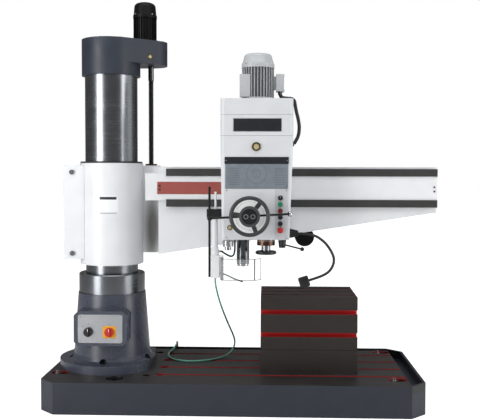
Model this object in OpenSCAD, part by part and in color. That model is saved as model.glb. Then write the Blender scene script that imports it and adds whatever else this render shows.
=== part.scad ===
// Radial arm drill: cast base with a box table, a column that swings on a pedestal,
// an arm that climbs the column on a screw, and a drill head that slides along the arm.
// Origin: the column's axis at floor level. +X along the arm, +Y to the rear, +Z up.

/* [Base] */
// Length of the base casting
base_l = 2415; // [2300:5:2600]
// Depth of the base casting, front to rear
base_w = 1068; // [1000:4:1200]
// Height of the base casting
base_h = 200; // [170:5:240]
// Size of the bevel on each corner of the base
base_corner = 100; // [60:5:140]
// Distance from the column's axis to the left end of the base
base_left = 372; // [365:1:400]
// Thickness of the top plate over the ribs
base_top = 66; // [60:2:80]
// Thickness of the casting's outer walls
base_wall = 25; // [18:1:35]
// Thickness of the ribs underneath
rib_t = 20; // [12:1:30]
// Depth of the coolant gutter
gutter_d = 60; // [30:5:80]
// Width of the rim outside the gutter
rim_t = 18; // [12:1:30]
// Width of the gutter at the right end
gutter_w = 82; // [70:1:90]
// Width of the gutter along the rear
gutter_rear_w = 61; // [50:1:64]
// Distance from a long edge of the base to the nearest T-slot
slot_edge = 234; // [225:3:246]
// Width of a T-slot's mouth
slot_w = 28; // [22:1:32]

/* [Pedestal] */
// Radius of the round foot flange
flange_r = 350; // [345:1:360]
// Distance from the column's axis to the flat on the flange
flange_flat = 272; // [268:1:290]
// Thickness of the flange
flange_t = 55; // [40:1:60]
// Radius of the cone at the flange
cone_foot_r = 259; // [255:1:264]
// Radius of the cone at its top
cone_top_r = 226; // [224:1:232]
// Height of the pedestal's top above the floor
pedestal_top = 698; // [690:1:700]
// Width of the switch housing
switch_w = 344; // [330:2:360]
// Height of the switch housing
switch_h = 223; // [210:1:240]

/* [Column] */
// Diameter of the swinging outer column
column_d = 350; // [345:1:352]
// Diameter of the bright collar at the foot of the column
collar_d = 442; // [430:1:448]
// Height of the collar
collar_h = 124; // [110:1:130]
// Length of the column inside its cap
column_in_cap = 53; // [45:1:60]
// Outside diameter of the fixed inner column
inner_d = 250; // [240:1:260]
// Radius of the round part of the column's cap
drum_r = 195; // [190:1:200]
// Height of the cap with its lid
cap_h = 239; // [230:1:245]
// Height of the lifting motor above the cap
lift_motor_h = 267; // [255:1:280]
// Overall height of the machine
machine_h = 2653; // [2640:1:2680]

/* [Arm] */
// Radius of the sleeve that grips the column
sleeve_r = 212; // [208:1:216]
// Height of the sleeve's lower end above the floor
sleeve_bottom = 890; // [886:1:900]
// Height of the sleeve
sleeve_h = 674; // [670:1:680]
// Distance from the column's axis to the free end of the arm
arm_end = 2154; // [2150:1:2180]
// Height of the arm's top above the floor
arm_top = 1540; // [1538:1:1544]
// Depth of the arm's underside below its top at the column
root_depth = 576; // [560:2:590]
// Depth of the arm's underside below its top at the free end
tip_depth = 296; // [285:1:310]
// Height of a guide way
way_h = 48; // [40:1:50]
// Height of the upper way's top edge above the floor
way_top = 1528; // [1524:1:1532]
// Height of the lower way's bottom edge above the floor
way_bottom = 1279; // [1275:1:1284]
// Diameter of the lifting screw
screw_d = 35; // [32:1:36]

/* [Head] */
// Distance from the column's axis to the head's left side
head_left = 766; // [764:1:768]
// Width of the head
head_w = 446; // [440:1:450]
// Depth of the head, front to rear
head_depth = 319; // [316:1:322]
// Height of the head's underside above the floor
head_bottom = 1090; // [1088:1:1092]
// Height of the head's top above the floor
head_top = 1955; // [1950:1:1960]
// How far the head's right side leans in from the gear case to its underside
lean_right = 22; // [16:1:24]
// How far the head's left side leans in from the gear case to its underside
lean_left = 11; // [8:1:12]
// Distance from the column's axis to the spindle's axis
spindle_x = 901; // [899:1:903]
// Diameter of the quill
quill_d = 80; // [78:1:84]
// Travel of the quill
quill_travel = 315; // [280:5:320]
// Radius of the traverse handwheel
wheel_r = 124; // [118:1:128]

/* [Box table] */
// Length of the box table
table_l = 626; // [600:2:640]
// Depth of the box table
table_w = 500; // [480:2:520]
// Height of the box table
table_h = 500; // [480:2:520]

/* [Hose] */
// Outside diameter of the coolant hose
hose_d = 12; // [10:1:13]

/* [Hidden] */
$fn = 72;

// Clearances
run_fit = 0.05;
slide_gap = 0.4;
loose = 0.3;
over = 1;

// Base
base_x0 = -base_left;
base_x1 = base_l - base_left;
table_right = base_x1 - rim_t - gutter_w;
table_rear = base_w / 2 - rim_t - gutter_rear_w;
slot_x0 = 367;
slot_depth = 48;
slot_head_w = 48;
slot_head_h = 20;
slot_pitch = (base_w - 2 * slot_edge) / 3;
slot_rows = [-1.5, -0.5, 0.5, 1.5] * slot_pitch;
slot_entry_r = 30;
cell_columns = 9;
cell_rows = 4;
column_pad_r = 170;
foot_x0 = base_x0 + 87;
foot_x1 = table_right - 63;
foot_left_in = 262;
foot_front_in = 160;
foot_rear_in = 55;
foot_places = [
    [foot_x0, foot_left_in - base_w / 2], [foot_x0, base_w / 2 - foot_left_in],
    [foot_x1, foot_front_in - base_w / 2], [foot_x1, table_rear - foot_rear_in]
];
foot_gap = 46;
foot_pocket_r = 40;
foot_pocket_d = 24;
foot_bolt_r = 12;
foot_bolt_proud = 12;
foot_hole_r = 15;
foot_nut_r = 20;
foot_nut_h = 22;
sump_in = 123;
sump_place = [92, sump_in - base_w / 2];
sump_r = 57;
sump_d = 48;
drain_x = 282;
drain_in = 210;
drain_places = [[drain_x, drain_in - base_w / 2], [drain_x, table_rear - sump_in]];
drain_r = 26;

// Pedestal
flange_top = base_h + flange_t;
fillet_r = 34;
pedestal_bore_foot = 215;
pedestal_hub_h = 130;
bolt_angles = [196, 268, 340, 52, 124];
bolt_circle = 260;
bolt_pocket_r = 22;
bolt_scoop_r = 30;
bolt_r = 12;
bolt_head_r = 19;
bolt_head_h = 16;
bolt_in = 46;
switch_x = -15;
switch_z = 387;
switch_front = -330;
switch_corner = 26;
switch_plate_w = 288;
switch_plate_h = 184;
switch_plate_t = 4;
switch_plate_z = switch_z + (switch_h - switch_plate_h) / 2;
knob_z = 478;
isolator_x = 45;
selector_x = -91;
knob_r = 29;
knob_t = 16;
knob_shaft_r = 7;

// Column
thrust_t = 6;
cap_top = machine_h - lift_motor_h;
cap_bottom = cap_top - cap_h;
column_top = cap_bottom + column_in_cap;
collar_z = pedestal_top + thrust_t + run_fit;
column_bore_r = 150;
bearing_h = 50;
bearing_inset = 20;
lower_bearing_z = pedestal_top + 47;
inner_top = column_top - 70;
upper_bearing_z = inner_top - bearing_h - bearing_inset;
inner_wall = 30;
lobe_x = 256;
lobe_y = 90;
lobe_r = 112;
lobe_h = 158;
lobe_bottom = cap_top - lobe_h;
cap_wall = 20;
lid_t = 16;
cap_rim = cap_top - lid_t;
lift_motor_x = 216;
screw_r = screw_d / 2;
screw_bottom = 1370;
screw_neck_z = cap_bottom - 17;
screw_sleeve_r = 19;
screw_collar_r = 32;
screw_top = cap_top - 86;

// Arm
web_front = -148;
arm_rear = 130;
band_front = -172;
way_front = -180;
way_x = 392;
band_x = 254;
band_top = 1498;
band_low = 1320;
undercut = 21;
neck_front = 10;
neck_x = 338;
arm_wall = 22;
arm_cells = 8;
clamp_x = -293;
clamp_half = 148;
clamp_z = 928;
clamp_h = 620;
slit = 12;
clamp_bolt_x = -236;
clamp_bolt_z = [967, 1504];
clamp_bolt_r = 10;
clamp_head_r = 16;
ring_t = 11;
sleeve_top = sleeve_bottom + sleeve_h;
nut_body_r = 29;
nut_flange_r = 52;
nut_flange_t = 12;
nut_boss_t = 10;
strip_x = 333;
strip_l = 840;
strip_z = 1361;
strip_h = 81;
strip_t = 2;
strip_hole_z = [1391, 1416];
strip_hole_r = 7;
cover_t = 3;
pump_x = 1313;
pump_z = 1061;
pump_r = 66;
pump_l = 170;
pump_plate_t = 12;

// Head
head_rear = way_front - slide_gap;
head_front = head_rear - head_depth;
head_right = head_left + head_w;
corner_r = 28;
case_z = 1728;
cover_z = 1856;
case_wall = 26;
head_wall = 36;
case_floor = 17;
cover_top_t = 20;
lip_back = -149;
lip_h = 32;
spindle_y = -330;
quill_r = quill_d / 2;
quill_nose = 925;
quill_top = 1575;
spindle_r = 28;
spindle_top_r = 20;
spindle_shoulder = 1560;
spindle_top = 1932;
nose_r = 36;
nose_bottom = 911;
taper_r = 22.2;
taper_l = 130;
taper_end_r = 18.8;
chamber_z = 1420;
quill_guide_r = 66;
rack_sink = 5;
feed_z = 1238;
feed_module = 2;
feed_teeth = 12;
feed_x = spindle_x + quill_r - rack_sink + feed_teeth * feed_module / 2;
feed_chamber_x = 815;
feed_chamber_w = 350;
feed_chamber_z = 1120;
feed_chamber_h = 262;
feed_chamber_back = -400;
feed_sleeve_r = 14;
feed_neck_r = 9.4;
wheel_shaft_r = 7;
wheel_shaft_end = -272;
drive_module = 4;
drive_teeth = 34;
motor_teeth = 12;
motor_x = spindle_x + (drive_teeth + motor_teeth) * drive_module / 2;
drive_z = 1765;
drive_h = 40;
sleeve_drive_r = 34;
sleeve_drive_z = 1580;
motor_shaft_r = 14;
panel_x = 797;
panel_w = 383;
panel_t = 3;
panel_z = 1094;
panel_h = 308;
chart_z = 1404;
chart_h = 194;
panel_front = head_front - panel_t;
sight_x = 986;
sight_z = 1661;
plug_x = 825;
plug_z = 1165;
button_x = 1134;
button_r = 15;
button_play = 0.4;
bezel_r = 18;
bezel_t = 4;
button_proud = 9;
mode_z = 1348;
start_z = 1309;
stop_z = 1268;
up_z = 1230;
down_z = 1190;
halt_z = 1150;
button_zs = [mode_z, start_z, stop_z, up_z, down_z, halt_z];
lever_y = panel_front - 43;
wheel_y = lever_y - 40;
rim_r = 12;
wheel_hub_r = 63;
wheel_cap_r = 47;
lever_tilt = 3.4;
lever_reach = 260;
lever_r = 7;
ball_r = 16;
lever_boss_r = 42;
fine_x = 1047;
fine_y = -420;
dial_r = 56;
dial_h = 38;
fine_neck_r = 28;
fine_disc_r = 66;
fine_disc_t = 22;
fine_bottom = 995;
knob_shaft = 12;
shift_x = 1148;
shift_z = 1036;
shift_r = 26;
shift_tip_r = 20;
lock_x = 809;
lock_y = -400;
lock_r = 34;
lock_z = 1040;
lock_h = 37;
lock_shaft_r = 8;
lock_in = 24;
lock_end_r = 21;
lock_end_z = 1017;
guard_y = -400;
rod_x = 693;
rod_r = 7.5;
rod_bottom = 847;
rod_top = 1415;
pipe_x = 731;
pipe_r = 7;
pipe_top = 1383;
tube_x = 726;
tube_r = 20;
bracket_z = 1224;
bracket_h = 51;
guard_box_z = 845;
guard_box_h = 141;
guard_box_x = 703;
guard_box_w = 54;
guard_box_half = 30;
knuckle_h = 48;
knuckle_r = 25;
stub_y = -390;
stub_z = 1008;
stub_x = 760;
stub_r = 8;
hinge_x = 772;
hinge_y = -424;
hinge_half = 10;
hinge_z = 832;
hinge_h = 144;
hinge_pin_r = 4;
shield_z = 830;
shield_h = 136;
shield_t = 4;
shield_start = 4;
shield_w = 205;
shield_turn_x = 40;
shield_turn_y = 40;
lamp_y = -380;
lamp_bracket_z = 1094;
lamp_bracket_h = 60;
lamp_bracket_x1 = 1248;
lamp_size = 64;
lamp_depth = 60;
lamp_tilt = 18;
lamp_x = 1288;
terminal_z = 2010;
lamp_z = 818;

// Box table on the base
table_x = 1014;
table_y = -245;
table_z = base_h;
table_slot_pitch = 150;
table_slot_zs = [402, 254];
table_slot_ys = [for (i = [-1, 0, 1]) table_w / 2 + i * table_slot_pitch];
table_top_t = 78;
table_front_t = 70;
table_wall = 32;
table_cell_columns = 3;
table_cell_rows = 2;

// Routes of the hoses and cables
fitting_x = 384;
fitting_y = base_w / 2 - rim_t / 2;
fitting_z = base_h + 28;
fitting_reach = 14;
hose_low = base_h + hose_d / 2 + loose;
hose_end_x = 730;
hose_play = 0.5;
hose_route = [
    [fitting_x, fitting_y - fitting_reach, fitting_z], [fitting_x, fitting_y - 34, fitting_z],
    [382, 468, 225.5], [376, 430, 218], [362, 372, 209], [351, 300, hose_low], [357, 210, hose_low],
    [385, 133, hose_low], [430, 80, hose_low], [490, 52, hose_low], [561, 51, hose_low],
    [625, 70, hose_low], [682, 105, hose_low], [735, 156, 209], [778, 200, 220], [809, 226, 246],
    [826, 226, 288], [826, 194, 334], [814, 132, 388], [783, 0, 498], [762, -118, 588],
    [752, -200, 643], [745, -262, 686], [740, -312, 723], [736, -352, 756], [732, -382, 786],
    [730, -397, 815], [hose_end_x, guard_y, guard_box_z - hose_play]
];
loop_route = [
    [stub_x, stub_y, stub_z], [765, stub_y, stub_z], [770, stub_y, stub_z], [795, -382, 990],
    [827, -376, 976], [846, -384, 990], [852, -396, 1028], [852, -404, 1062], [852, -404, 1076],
    [852, -404, head_bottom]
];
nozzle_y = -386;
nozzle_route = [
    [guard_box_x + guard_box_w, nozzle_y, 868], [763, nozzle_y, 868], [769, nozzle_y, 868],
    [800, nozzle_y, 858], [847, -390, 836], [903, -392, 817]
];
conduit_x = 1132;
gland_y = -260;
gland_z = 1688;
conduit_route = [
    [conduit_x, spindle_y, terminal_z - hose_play], [1132.2, -329.8, 1998], [1135.5, -326, 1986.5],
    [1143, -318, 1978], [1155, -305, 1974.3], [1172, -287, 1974], [1194, -264, 1974.5],
    [1212, -247, 1972.5], [1226, -236, 1959], [1231, -230, 1933], [1239, -228.5, 1893],
    [1251, -233, 1843], [1257, -242, 1790], [1249, -253, 1735], [1224, gland_y, gland_z]
];
lamp_out = [cos(lamp_tilt), 0, sin(lamp_tilt)];
lamp_at = [lamp_x, lamp_y, lamp_z];
lamp_bracket_mid = 1121;
gooseneck_route = [
    [lamp_bracket_x1, lamp_y, lamp_bracket_mid], [1262, lamp_y, lamp_bracket_mid],
    [1276, lamp_y, lamp_bracket_mid], [1346, lamp_y, 1110], [1386, lamp_y, 1090], [1426, lamp_y, 1054],
    [1458, lamp_y, 1006], [1473, lamp_y, 962], [1465, lamp_y, 918], [1439, lamp_y, 881], [1398, lamp_y, 856],
    lamp_at + (lamp_size / 2 + 24) * lamp_out, lamp_at + (lamp_size / 2 + 12) * lamp_out,
    lamp_at + lamp_size / 2 * lamp_out
];

// Paint
slate = "#3d4049";
iron = "#3a3735";
white = "#e4e5e8";
steel = "#a9abad";
dark_steel = "#454647";
black = "#1d1e20";
red = "#a32b26";

// A profile drawn as (Y, Z) and drawn out along X
module along_x(x0, x1) {
    translate([x0, 0, 0])
        rotate([90, 0, 90])
            linear_extrude(x1 - x0)
                children();
}

// A profile drawn as (X, Z) and drawn out along Y
module along_y(y0, y1) {
    translate([0, y1, 0])
        rotate([90, 0, 0])
            linear_extrude(y1 - y0)
                children();
}

// A round bar along Y
module bar_y(x, z, y0, y1, r) {
    translate([x, y1, z])
        rotate([90, 0, 0])
            cylinder(r = r, h = y1 - y0);
}

// A round bar along Z
module bar_z(x, y, z0, z1, r) {
    translate([x, y, z0])
        cylinder(r = r, h = z1 - z0);
}

// A ring along Z
module ring_z(z0, z1, r_in, r_out) {
    difference() {
        bar_z(0, 0, z0, z1, r_out);
        bar_z(0, 0, z0 - over, z1 + over, r_in);
    }
}

function unit(v) = v / norm(v);

// A smooth curve through the points of a route
function curve_at(a, b, c, d, t) =
    (2 * b + (c - a) * t + (2 * a - 5 * b + 4 * c - d) * t * t + (3 * b - a - 3 * c + d) * t * t * t) / 2;

function smooth(route, steps) = concat(
    [for (i = [0 : len(route) - 2], j = [0 : steps - 1])
        curve_at(route[max(i - 1, 0)], route[i], route[i + 1], route[min(i + 2, len(route) - 1)], j / steps)],
    [route[len(route) - 1]]
);

function headings(pts) =
    [for (i = [0 : len(pts) - 1]) unit(pts[min(i + 1, len(pts) - 1)] - pts[max(i - 1, 0)])];

// A side vector for each ring, carried along the curve without twisting
function sides(ways, i, side) =
    i == len(ways) ? [] :
    let (n = unit(side - ways[i] * (side * ways[i])))
    concat([n], sides(ways, i + 1, n));

// A round tube swept along a route
module swept_tube(route, r, steps, ring, start_side) {
    pts = smooth(route, steps);
    ways = headings(pts);
    across = sides(ways, 0, start_side);
    rings = len(pts);
    points = [for (i = [0 : rings - 1], k = [0 : ring - 1])
        let (a = 360 * k / ring)
        pts[i] + r * (cos(a) * across[i] + sin(a) * cross(ways[i], across[i]))];
    walls = [for (i = [0 : rings - 2], k = [0 : ring - 1])
        let (n = (k + 1) % ring)
        [i * ring + k, (i + 1) * ring + k, (i + 1) * ring + n, i * ring + n]];
    first = [for (k = [0 : ring - 1]) k];
    last = [for (k = [0 : ring - 1]) rings * ring - 1 - k];
    polyhedron(points, concat(walls, [first], [last]));
}

// Involute teeth with a 25 degree pressure angle and stub height
pressure = 25;
tooth_up = 0.85;
tooth_down = 1.15;
backlash = 0.12;

function spread(r, base) =
    let (a = acos(min(1, base / max(r, base))))
    tan(a) * 180 / PI - a;

function half_tooth(r, teeth, m) =
    let (pitch = teeth * m / 2, base = pitch * cos(pressure))
    90 / teeth + spread(pitch, base) - spread(r, base) - backlash / r * 180 / PI;

function gear_outline(teeth, m) =
    let (
        pitch = teeth * m / 2,
        radii = [pitch - tooth_down * m, pitch - m / 2, pitch, pitch + tooth_up * m / 2, pitch + tooth_up * m]
    )
    [for (i = [0 : teeth - 1], s = [-1, 1], k = [0 : 4])
        let (r = radii[s < 0 ? k : 4 - k], a = 360 * i / teeth + s * half_tooth(r, teeth, m))
        r * [cos(a), sin(a)]];

// A squirrel-cage motor: foot flange, finned barrel and the ring that its cowl sits on
module finned_motor(z0, z1, flange_h, core_r, fin_r, fins, ring_h) {
    fin_t = 4;
    bar_z(0, 0, z0, z0 + flange_h, fin_r + 3);
    bar_z(0, 0, z0, z1, core_r);
    bar_z(0, 0, z1 - ring_h, z1, fin_r + 2);
    for (i = [0 : fins - 1])
        rotate(360 * i / fins)
            translate([core_r - 4, -fin_t / 2, z0 + flange_h - over])
                cube([fin_r - core_r + 4, fin_t, z1 - z0 - flange_h]);
}

// A fan cowl: a skirt over the motor's ring, a tapering wall and a rounded top with an air inlet
module fan_cowl(z0, z1, r, top_r, skirt, dome) {
    wall = 3;
    lip = 4;
    inlet_r = 40;
    rotate_extrude()
        difference() {
            union() {
                polygon([
                    [inlet_r, z0], [r, z0], [r, z0 + skirt], [r - lip, z0 + skirt + lip], [top_r, z1 - dome],
                    [top_r - dome, z1], [inlet_r, z1]
                ]);
                translate([top_r - dome, z1 - dome])
                    circle(r = dome);
            }
            polygon([
                [0, z0 - over], [r - wall, z0 - over], [r - wall, z0 + skirt],
                [r - lip - wall, z0 + skirt + lip], [top_r - wall, z1 - dome],
                [top_r - dome, z1 - dome], [top_r - dome, z1 - wall], [0, z1 - wall]
            ]);
            translate([top_r - dome, z1 - dome])
                circle(r = dome - wall);
        }
}

// The base casting seen from above, drawn in by an inset
module base_outline(inset = 0) {
    x0 = base_x0 + inset;
    x1 = base_x1 - inset;
    w = base_w / 2 - inset;
    c = base_corner - inset * (2 - sqrt(2));
    polygon([
        [x0 + c, -w], [x1 - c, -w], [x1, -w + c], [x1, w - c],
        [x1 - c, w], [x0 + c, w], [x0, w - c], [x0, -w + c]
    ]);
}

// A T-slot cut along X with its mouth at Z = 0
module t_slot(length) {
    translate([0, -slot_w / 2, -slot_depth + over])
        cube([length, slot_w, slot_depth]);
    translate([0, -slot_head_w / 2, -slot_depth])
        cube([length, slot_head_w, slot_head_h]);
}

module gutter() {
    translate([0, 0, base_h - gutter_d])
        linear_extrude(gutter_d + over)
            difference() {
                base_outline(rim_t);
                translate([base_x0, -base_w / 2])
                    square([table_right + base_left, base_w / 2 + table_rear]);
            }
}

// Open cells between the ribs under the base
module rib_cells() {
    x0 = base_x0 + base_wall;
    y0 = -base_w / 2 + base_wall;
    cell_x = (table_right - base_wall - x0 + rib_t) / cell_columns;
    cell_y = (table_rear - base_wall - y0 + rib_t) / cell_rows;
    difference() {
        intersection() {
            for (i = [0 : cell_columns - 1], j = [0 : cell_rows - 1])
                translate([x0 + i * cell_x, y0 + j * cell_y, -over])
                    cube([cell_x - rib_t, cell_y - rib_t, base_h - base_top + over]);
            translate([0, 0, -2 * over])
                linear_extrude(base_h)
                    base_outline(base_wall);
        }
        bar_z(0, 0, -2 * over, base_h, column_pad_r);
        for (p = foot_places)
            translate([p.x - foot_gap, p.y - foot_gap, -2 * over])
                cube([2 * foot_gap, 2 * foot_gap, base_h]);
    }
}

// A rounded pocket with an empty foundation hole beside a levelling screw
module foot_pocket() {
    translate([0, 0, base_h - foot_pocket_d]) {
        for (s = [-1, 1])
            translate([s * foot_gap / 2, 0, 0])
                cylinder(r = foot_pocket_r, h = foot_pocket_d + over);
        translate([-foot_gap / 2, -foot_pocket_r, 0])
            cube([foot_gap, 2 * foot_pocket_r, foot_pocket_d + over]);
    }
    bar_z(foot_gap / 2, 0, -over, base_h, foot_hole_r);
    bar_z(-foot_gap / 2, 0, -over, base_h, foot_bolt_r + loose);
}

module base_plate() {
    color(slate)
        difference() {
            linear_extrude(base_h)
                base_outline();
            gutter();
            rib_cells();
            for (y = slot_rows)
                translate([slot_x0, y, base_h]) {
                    t_slot(table_right - slot_x0 + over);
                    translate([0, 0, -slot_depth])
                        cylinder(r = slot_entry_r, h = slot_depth + over);
                }
            for (p = foot_places)
                translate([p.x, p.y, 0])
                    foot_pocket();
            translate([sump_place.x, sump_place.y, base_h - sump_d])
                cylinder(r = sump_r, h = sump_d + over);
            for (p = drain_places)
                translate([p.x, p.y, base_h - sump_d])
                    cylinder(r = drain_r, h = sump_d + over);
            for (a = bolt_angles)
                rotate(a)
                    bar_z(bolt_circle, 0, base_h - bolt_in, base_h + over, bolt_r + run_fit);
        }
}

module levelling_screws() {
    floor_z = base_h - foot_pocket_d;
    color(steel)
        for (p = foot_places)
            translate([p.x - foot_gap / 2, p.y, 0]) {
                cylinder(r = foot_bolt_r, h = base_h + foot_bolt_proud);
                translate([0, 0, floor_z])
                    cylinder(r = foot_nut_r, h = foot_nut_h, $fn = 6);
            }
}

// The switch housing seen from the front, with bevelled corners
module switch_outline() {
    x0 = switch_x - switch_w / 2;
    x1 = switch_x + switch_w / 2;
    z0 = switch_z;
    z1 = switch_z + switch_h;
    c = switch_corner;
    polygon([
        [x0 + c, z0], [x1 - c, z0], [x1, z0 + c], [x1, z1 - c],
        [x1 - c, z1], [x0 + c, z1], [x0, z1 - c], [x0, z0 + c]
    ]);
}

module pedestal() {
    ledge = 14;
    housing_back = -150;
    pocket_back = -262;
    color("#4b4e57")
        difference() {
            union() {
                rotate_extrude()
                    polygon([
                        [0, base_h], [flange_r, base_h], [flange_r, flange_top],
                        [cone_foot_r + fillet_r, flange_top],
                        [cone_foot_r + fillet_r * 0.3, flange_top + fillet_r * 0.3],
                        [cone_foot_r - 3, flange_top + fillet_r], [cone_top_r, pedestal_top],
                        [0, pedestal_top]
                    ]);
                along_y(switch_front, housing_back)
                    switch_outline();
            }
            rotate_extrude()
                polygon([
                    [0, base_h - over], [pedestal_bore_foot, base_h - over], [pedestal_bore_foot, flange_top],
                    [cone_top_r - 45, pedestal_top - pedestal_hub_h],
                    [inner_d / 2, pedestal_top - pedestal_hub_h],
                    [inner_d / 2, pedestal_top + over], [0, pedestal_top + over]
                ]);
            translate([flange_flat, -base_w, 0])
                cube([base_w, 2 * base_w, flange_top]);
            for (a = bolt_angles)
                rotate(a) {
                    bar_z(bolt_circle, 0, base_h - over, flange_top, bolt_r + loose);
                    bar_z(bolt_circle, 0, flange_top - bolt_head_h, flange_top + bolt_head_h, bolt_pocket_r);
                    translate([bolt_circle, 0, flange_top])
                        intersection() {
                            sphere(r = bolt_scoop_r);
                            cylinder(r = 2 * bolt_scoop_r, h = 2 * bolt_scoop_r);
                        }
                }
            translate([switch_x - switch_plate_w / 2 + ledge, switch_front - over, switch_plate_z + ledge])
                cube([
                    switch_plate_w - 2 * ledge, pocket_back - switch_front + over, switch_plate_h - 2 * ledge
                ]);
        }
}

module pedestal_bolts() {
    color(dark_steel)
        for (a = bolt_angles)
            rotate(a)
                translate([bolt_circle, 0, base_h - bolt_in]) {
                    cylinder(r = bolt_r, h = flange_t + bolt_in);
                    translate([0, 0, flange_t + bolt_in - bolt_head_h])
                        cylinder(r = bolt_head_r, h = bolt_head_h, $fn = 6);
                }
}

module inner_column() {
    color(steel)
        ring_z(base_h, inner_top, inner_d / 2 - inner_wall, inner_d / 2);
}

// Two roller bearings and the thrust ring that carries the swinging column
module column_bearings() {
    thrust_r = collar_d / 2 - 5;
    color("#8d8f92") {
        for (z = [lower_bearing_z, upper_bearing_z])
            ring_z(z, z + bearing_h, inner_d / 2, column_bore_r - run_fit);
        ring_z(pedestal_top, pedestal_top + thrust_t, inner_d / 2 + 5, thrust_r);
    }
}

module switch_plate() {
    color("#d6d7d9")
        difference() {
            along_y(switch_front - switch_plate_t, switch_front)
                translate([switch_x - switch_plate_w / 2, switch_plate_z])
                    square([switch_plate_w, switch_plate_h]);
            for (x = [isolator_x, selector_x])
                bar_y(
                    x, knob_z, switch_front - 2 * switch_plate_t, switch_front + over, knob_shaft_r + run_fit
                );
        }
}

// A round knob with a grip bar across it, on a shaft that runs into the housing
module rotary_knob(x) {
    back = switch_front - switch_plate_t - loose;
    grip_w = 14;
    grip_t = 12;
    shaft_in = 30;
    bar_y(x, knob_z, back - knob_t, back, knob_r);
    bar_y(x, knob_z, back - over, switch_front + shaft_in, knob_shaft_r);
    along_y(back - knob_t - grip_t, back - knob_t)
        translate([x - grip_w / 2, knob_z - knob_r + 3])
            square([grip_w, 2 * knob_r - 6]);
}

module isolator_knob() {
    color("#cf2a1c")
        rotary_knob(isolator_x);
}

module selector_knob() {
    color(black)
        rotary_knob(selector_x);
}

module box_table() {
    line = 3;
    line_z = 154;
    cell_x = (table_l - 2 * table_wall + rib_t) / table_cell_columns;
    cell_y = (table_w - table_front_t - table_wall + rib_t) / table_cell_rows;
    color(iron)
        translate([table_x, table_y, table_z])
            difference() {
                cube([table_l, table_w, table_h]);
                for (i = [0 : table_cell_columns - 1], j = [0 : table_cell_rows - 1])
                    translate([table_wall + i * cell_x, table_front_t + j * cell_y, -over])
                        cube([cell_x - rib_t, cell_y - rib_t, table_h - table_top_t + over]);
                for (y = table_slot_ys)
                    translate([-over, y, table_h])
                        t_slot(table_l + 2 * over);
                for (z = table_slot_zs)
                    translate([-over, 0, z])
                        rotate([90, 0, 0])
                            t_slot(table_l + 2 * over);
                translate([-over, -over, line_z])
                    cube([table_l + 2 * over, line + over, line]);
            }
}

module hose_fitting() {
    nut_h = 12;
    color("#b08a45") {
        bar_z(fitting_x, fitting_y, base_h, fitting_z + hose_d, hose_d / 2 + 2);
        translate([fitting_x, fitting_y, base_h])
            cylinder(r = rim_t / 2, h = nut_h, $fn = 6);
        bar_y(fitting_x, fitting_z, fitting_y - fitting_reach, fitting_y, hose_d / 2 + 1);
    }
}

module outer_column() {
    color(steel)
        rotate_extrude()
            polygon([
                [column_bore_r, collar_z], [collar_d / 2, collar_z], [collar_d / 2, collar_z + collar_h - 6],
                [collar_d / 2 - 6, collar_z + collar_h], [column_d / 2, collar_z + collar_h],
                [column_d / 2, column_top], [column_bore_r, column_top]
            ]);
}

// A plate round the column's axis with a lobe over the lifting screw, like a belt round two wheels
module belt_plate(z0, z1, inset) {
    r1 = drum_r - inset;
    r2 = lobe_r - inset;
    reach = norm([lobe_x, lobe_y]);
    turn = atan2(lobe_y, lobe_x);
    meet = acos((r1 - r2) / reach);
    translate([0, 0, z0])
        linear_extrude(z1 - z0) {
            circle(r = r1);
            translate([lobe_x, lobe_y])
                circle(r = r2);
            polygon([
                r1 * [cos(turn + meet), sin(turn + meet)],
                r1 * [cos(turn - meet), sin(turn - meet)],
                [lobe_x, lobe_y] + r2 * [cos(turn - meet), sin(turn - meet)],
                [lobe_x, lobe_y] + r2 * [cos(turn + meet), sin(turn + meet)]
            ]);
        }
}

module column_cap() {
    color(slate)
        difference() {
            union() {
                bar_z(0, 0, cap_bottom, cap_rim, drum_r);
                belt_plate(lobe_bottom, cap_rim, 0);
            }
            bar_z(0, 0, cap_bottom - over, column_top, column_d / 2);
            bar_z(0, 0, column_top - over, lobe_bottom + cap_wall, column_bore_r);
            belt_plate(lobe_bottom + cap_wall, cap_rim + over, cap_wall);
            bar_z(lobe_x, lobe_y, lobe_bottom - over, cap_rim, screw_sleeve_r + run_fit);
        }
}

module cap_lid() {
    color(slate)
        belt_plate(cap_rim, cap_top, 0);
}

lift_fin_r = 79;
lift_core_r = 71;
lift_cowl_h = 93;
lift_cowl_z = machine_h - lift_cowl_h;

module lift_motor() {
    color(black)
        translate([lift_motor_x, lobe_y, 0])
            finned_motor(cap_top, lift_cowl_z, 12, lift_core_r, lift_fin_r, 28, 10);
}

module lift_motor_cowl() {
    dome = 30;
    top_r = 73;
    skirt = 10;
    color(black)
        translate([lift_motor_x, lobe_y, 0])
            fan_cowl(lift_cowl_z, machine_h, lift_fin_r + 2, top_r, skirt, dome);
}

module lift_screw() {
    floor_z = lobe_bottom + cap_wall + run_fit;
    collar_t = 14;
    color(dark_steel)
        translate([lobe_x, lobe_y, 0]) {
            bar_z(0, 0, screw_bottom, screw_top, screw_r);
            bar_z(0, 0, screw_neck_z, floor_z + collar_t, screw_sleeve_r);
            bar_z(0, 0, floor_z, floor_z + collar_t, screw_collar_r);
        }
}

// The arm's beam seen from the front, deep at the column and shallow at the free end
module beam_outline(inset = 0) {
    slope = (root_depth - tip_depth) / (arm_end - neck_x);
    polygon([
        [neck_x + inset, arm_top - root_depth + inset * (1 + slope)],
        [arm_end - inset, arm_top - tip_depth + inset * (1 - slope)],
        [arm_end - inset, arm_top - inset], [neck_x + inset, arm_top - inset]
    ]);
}

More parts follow.
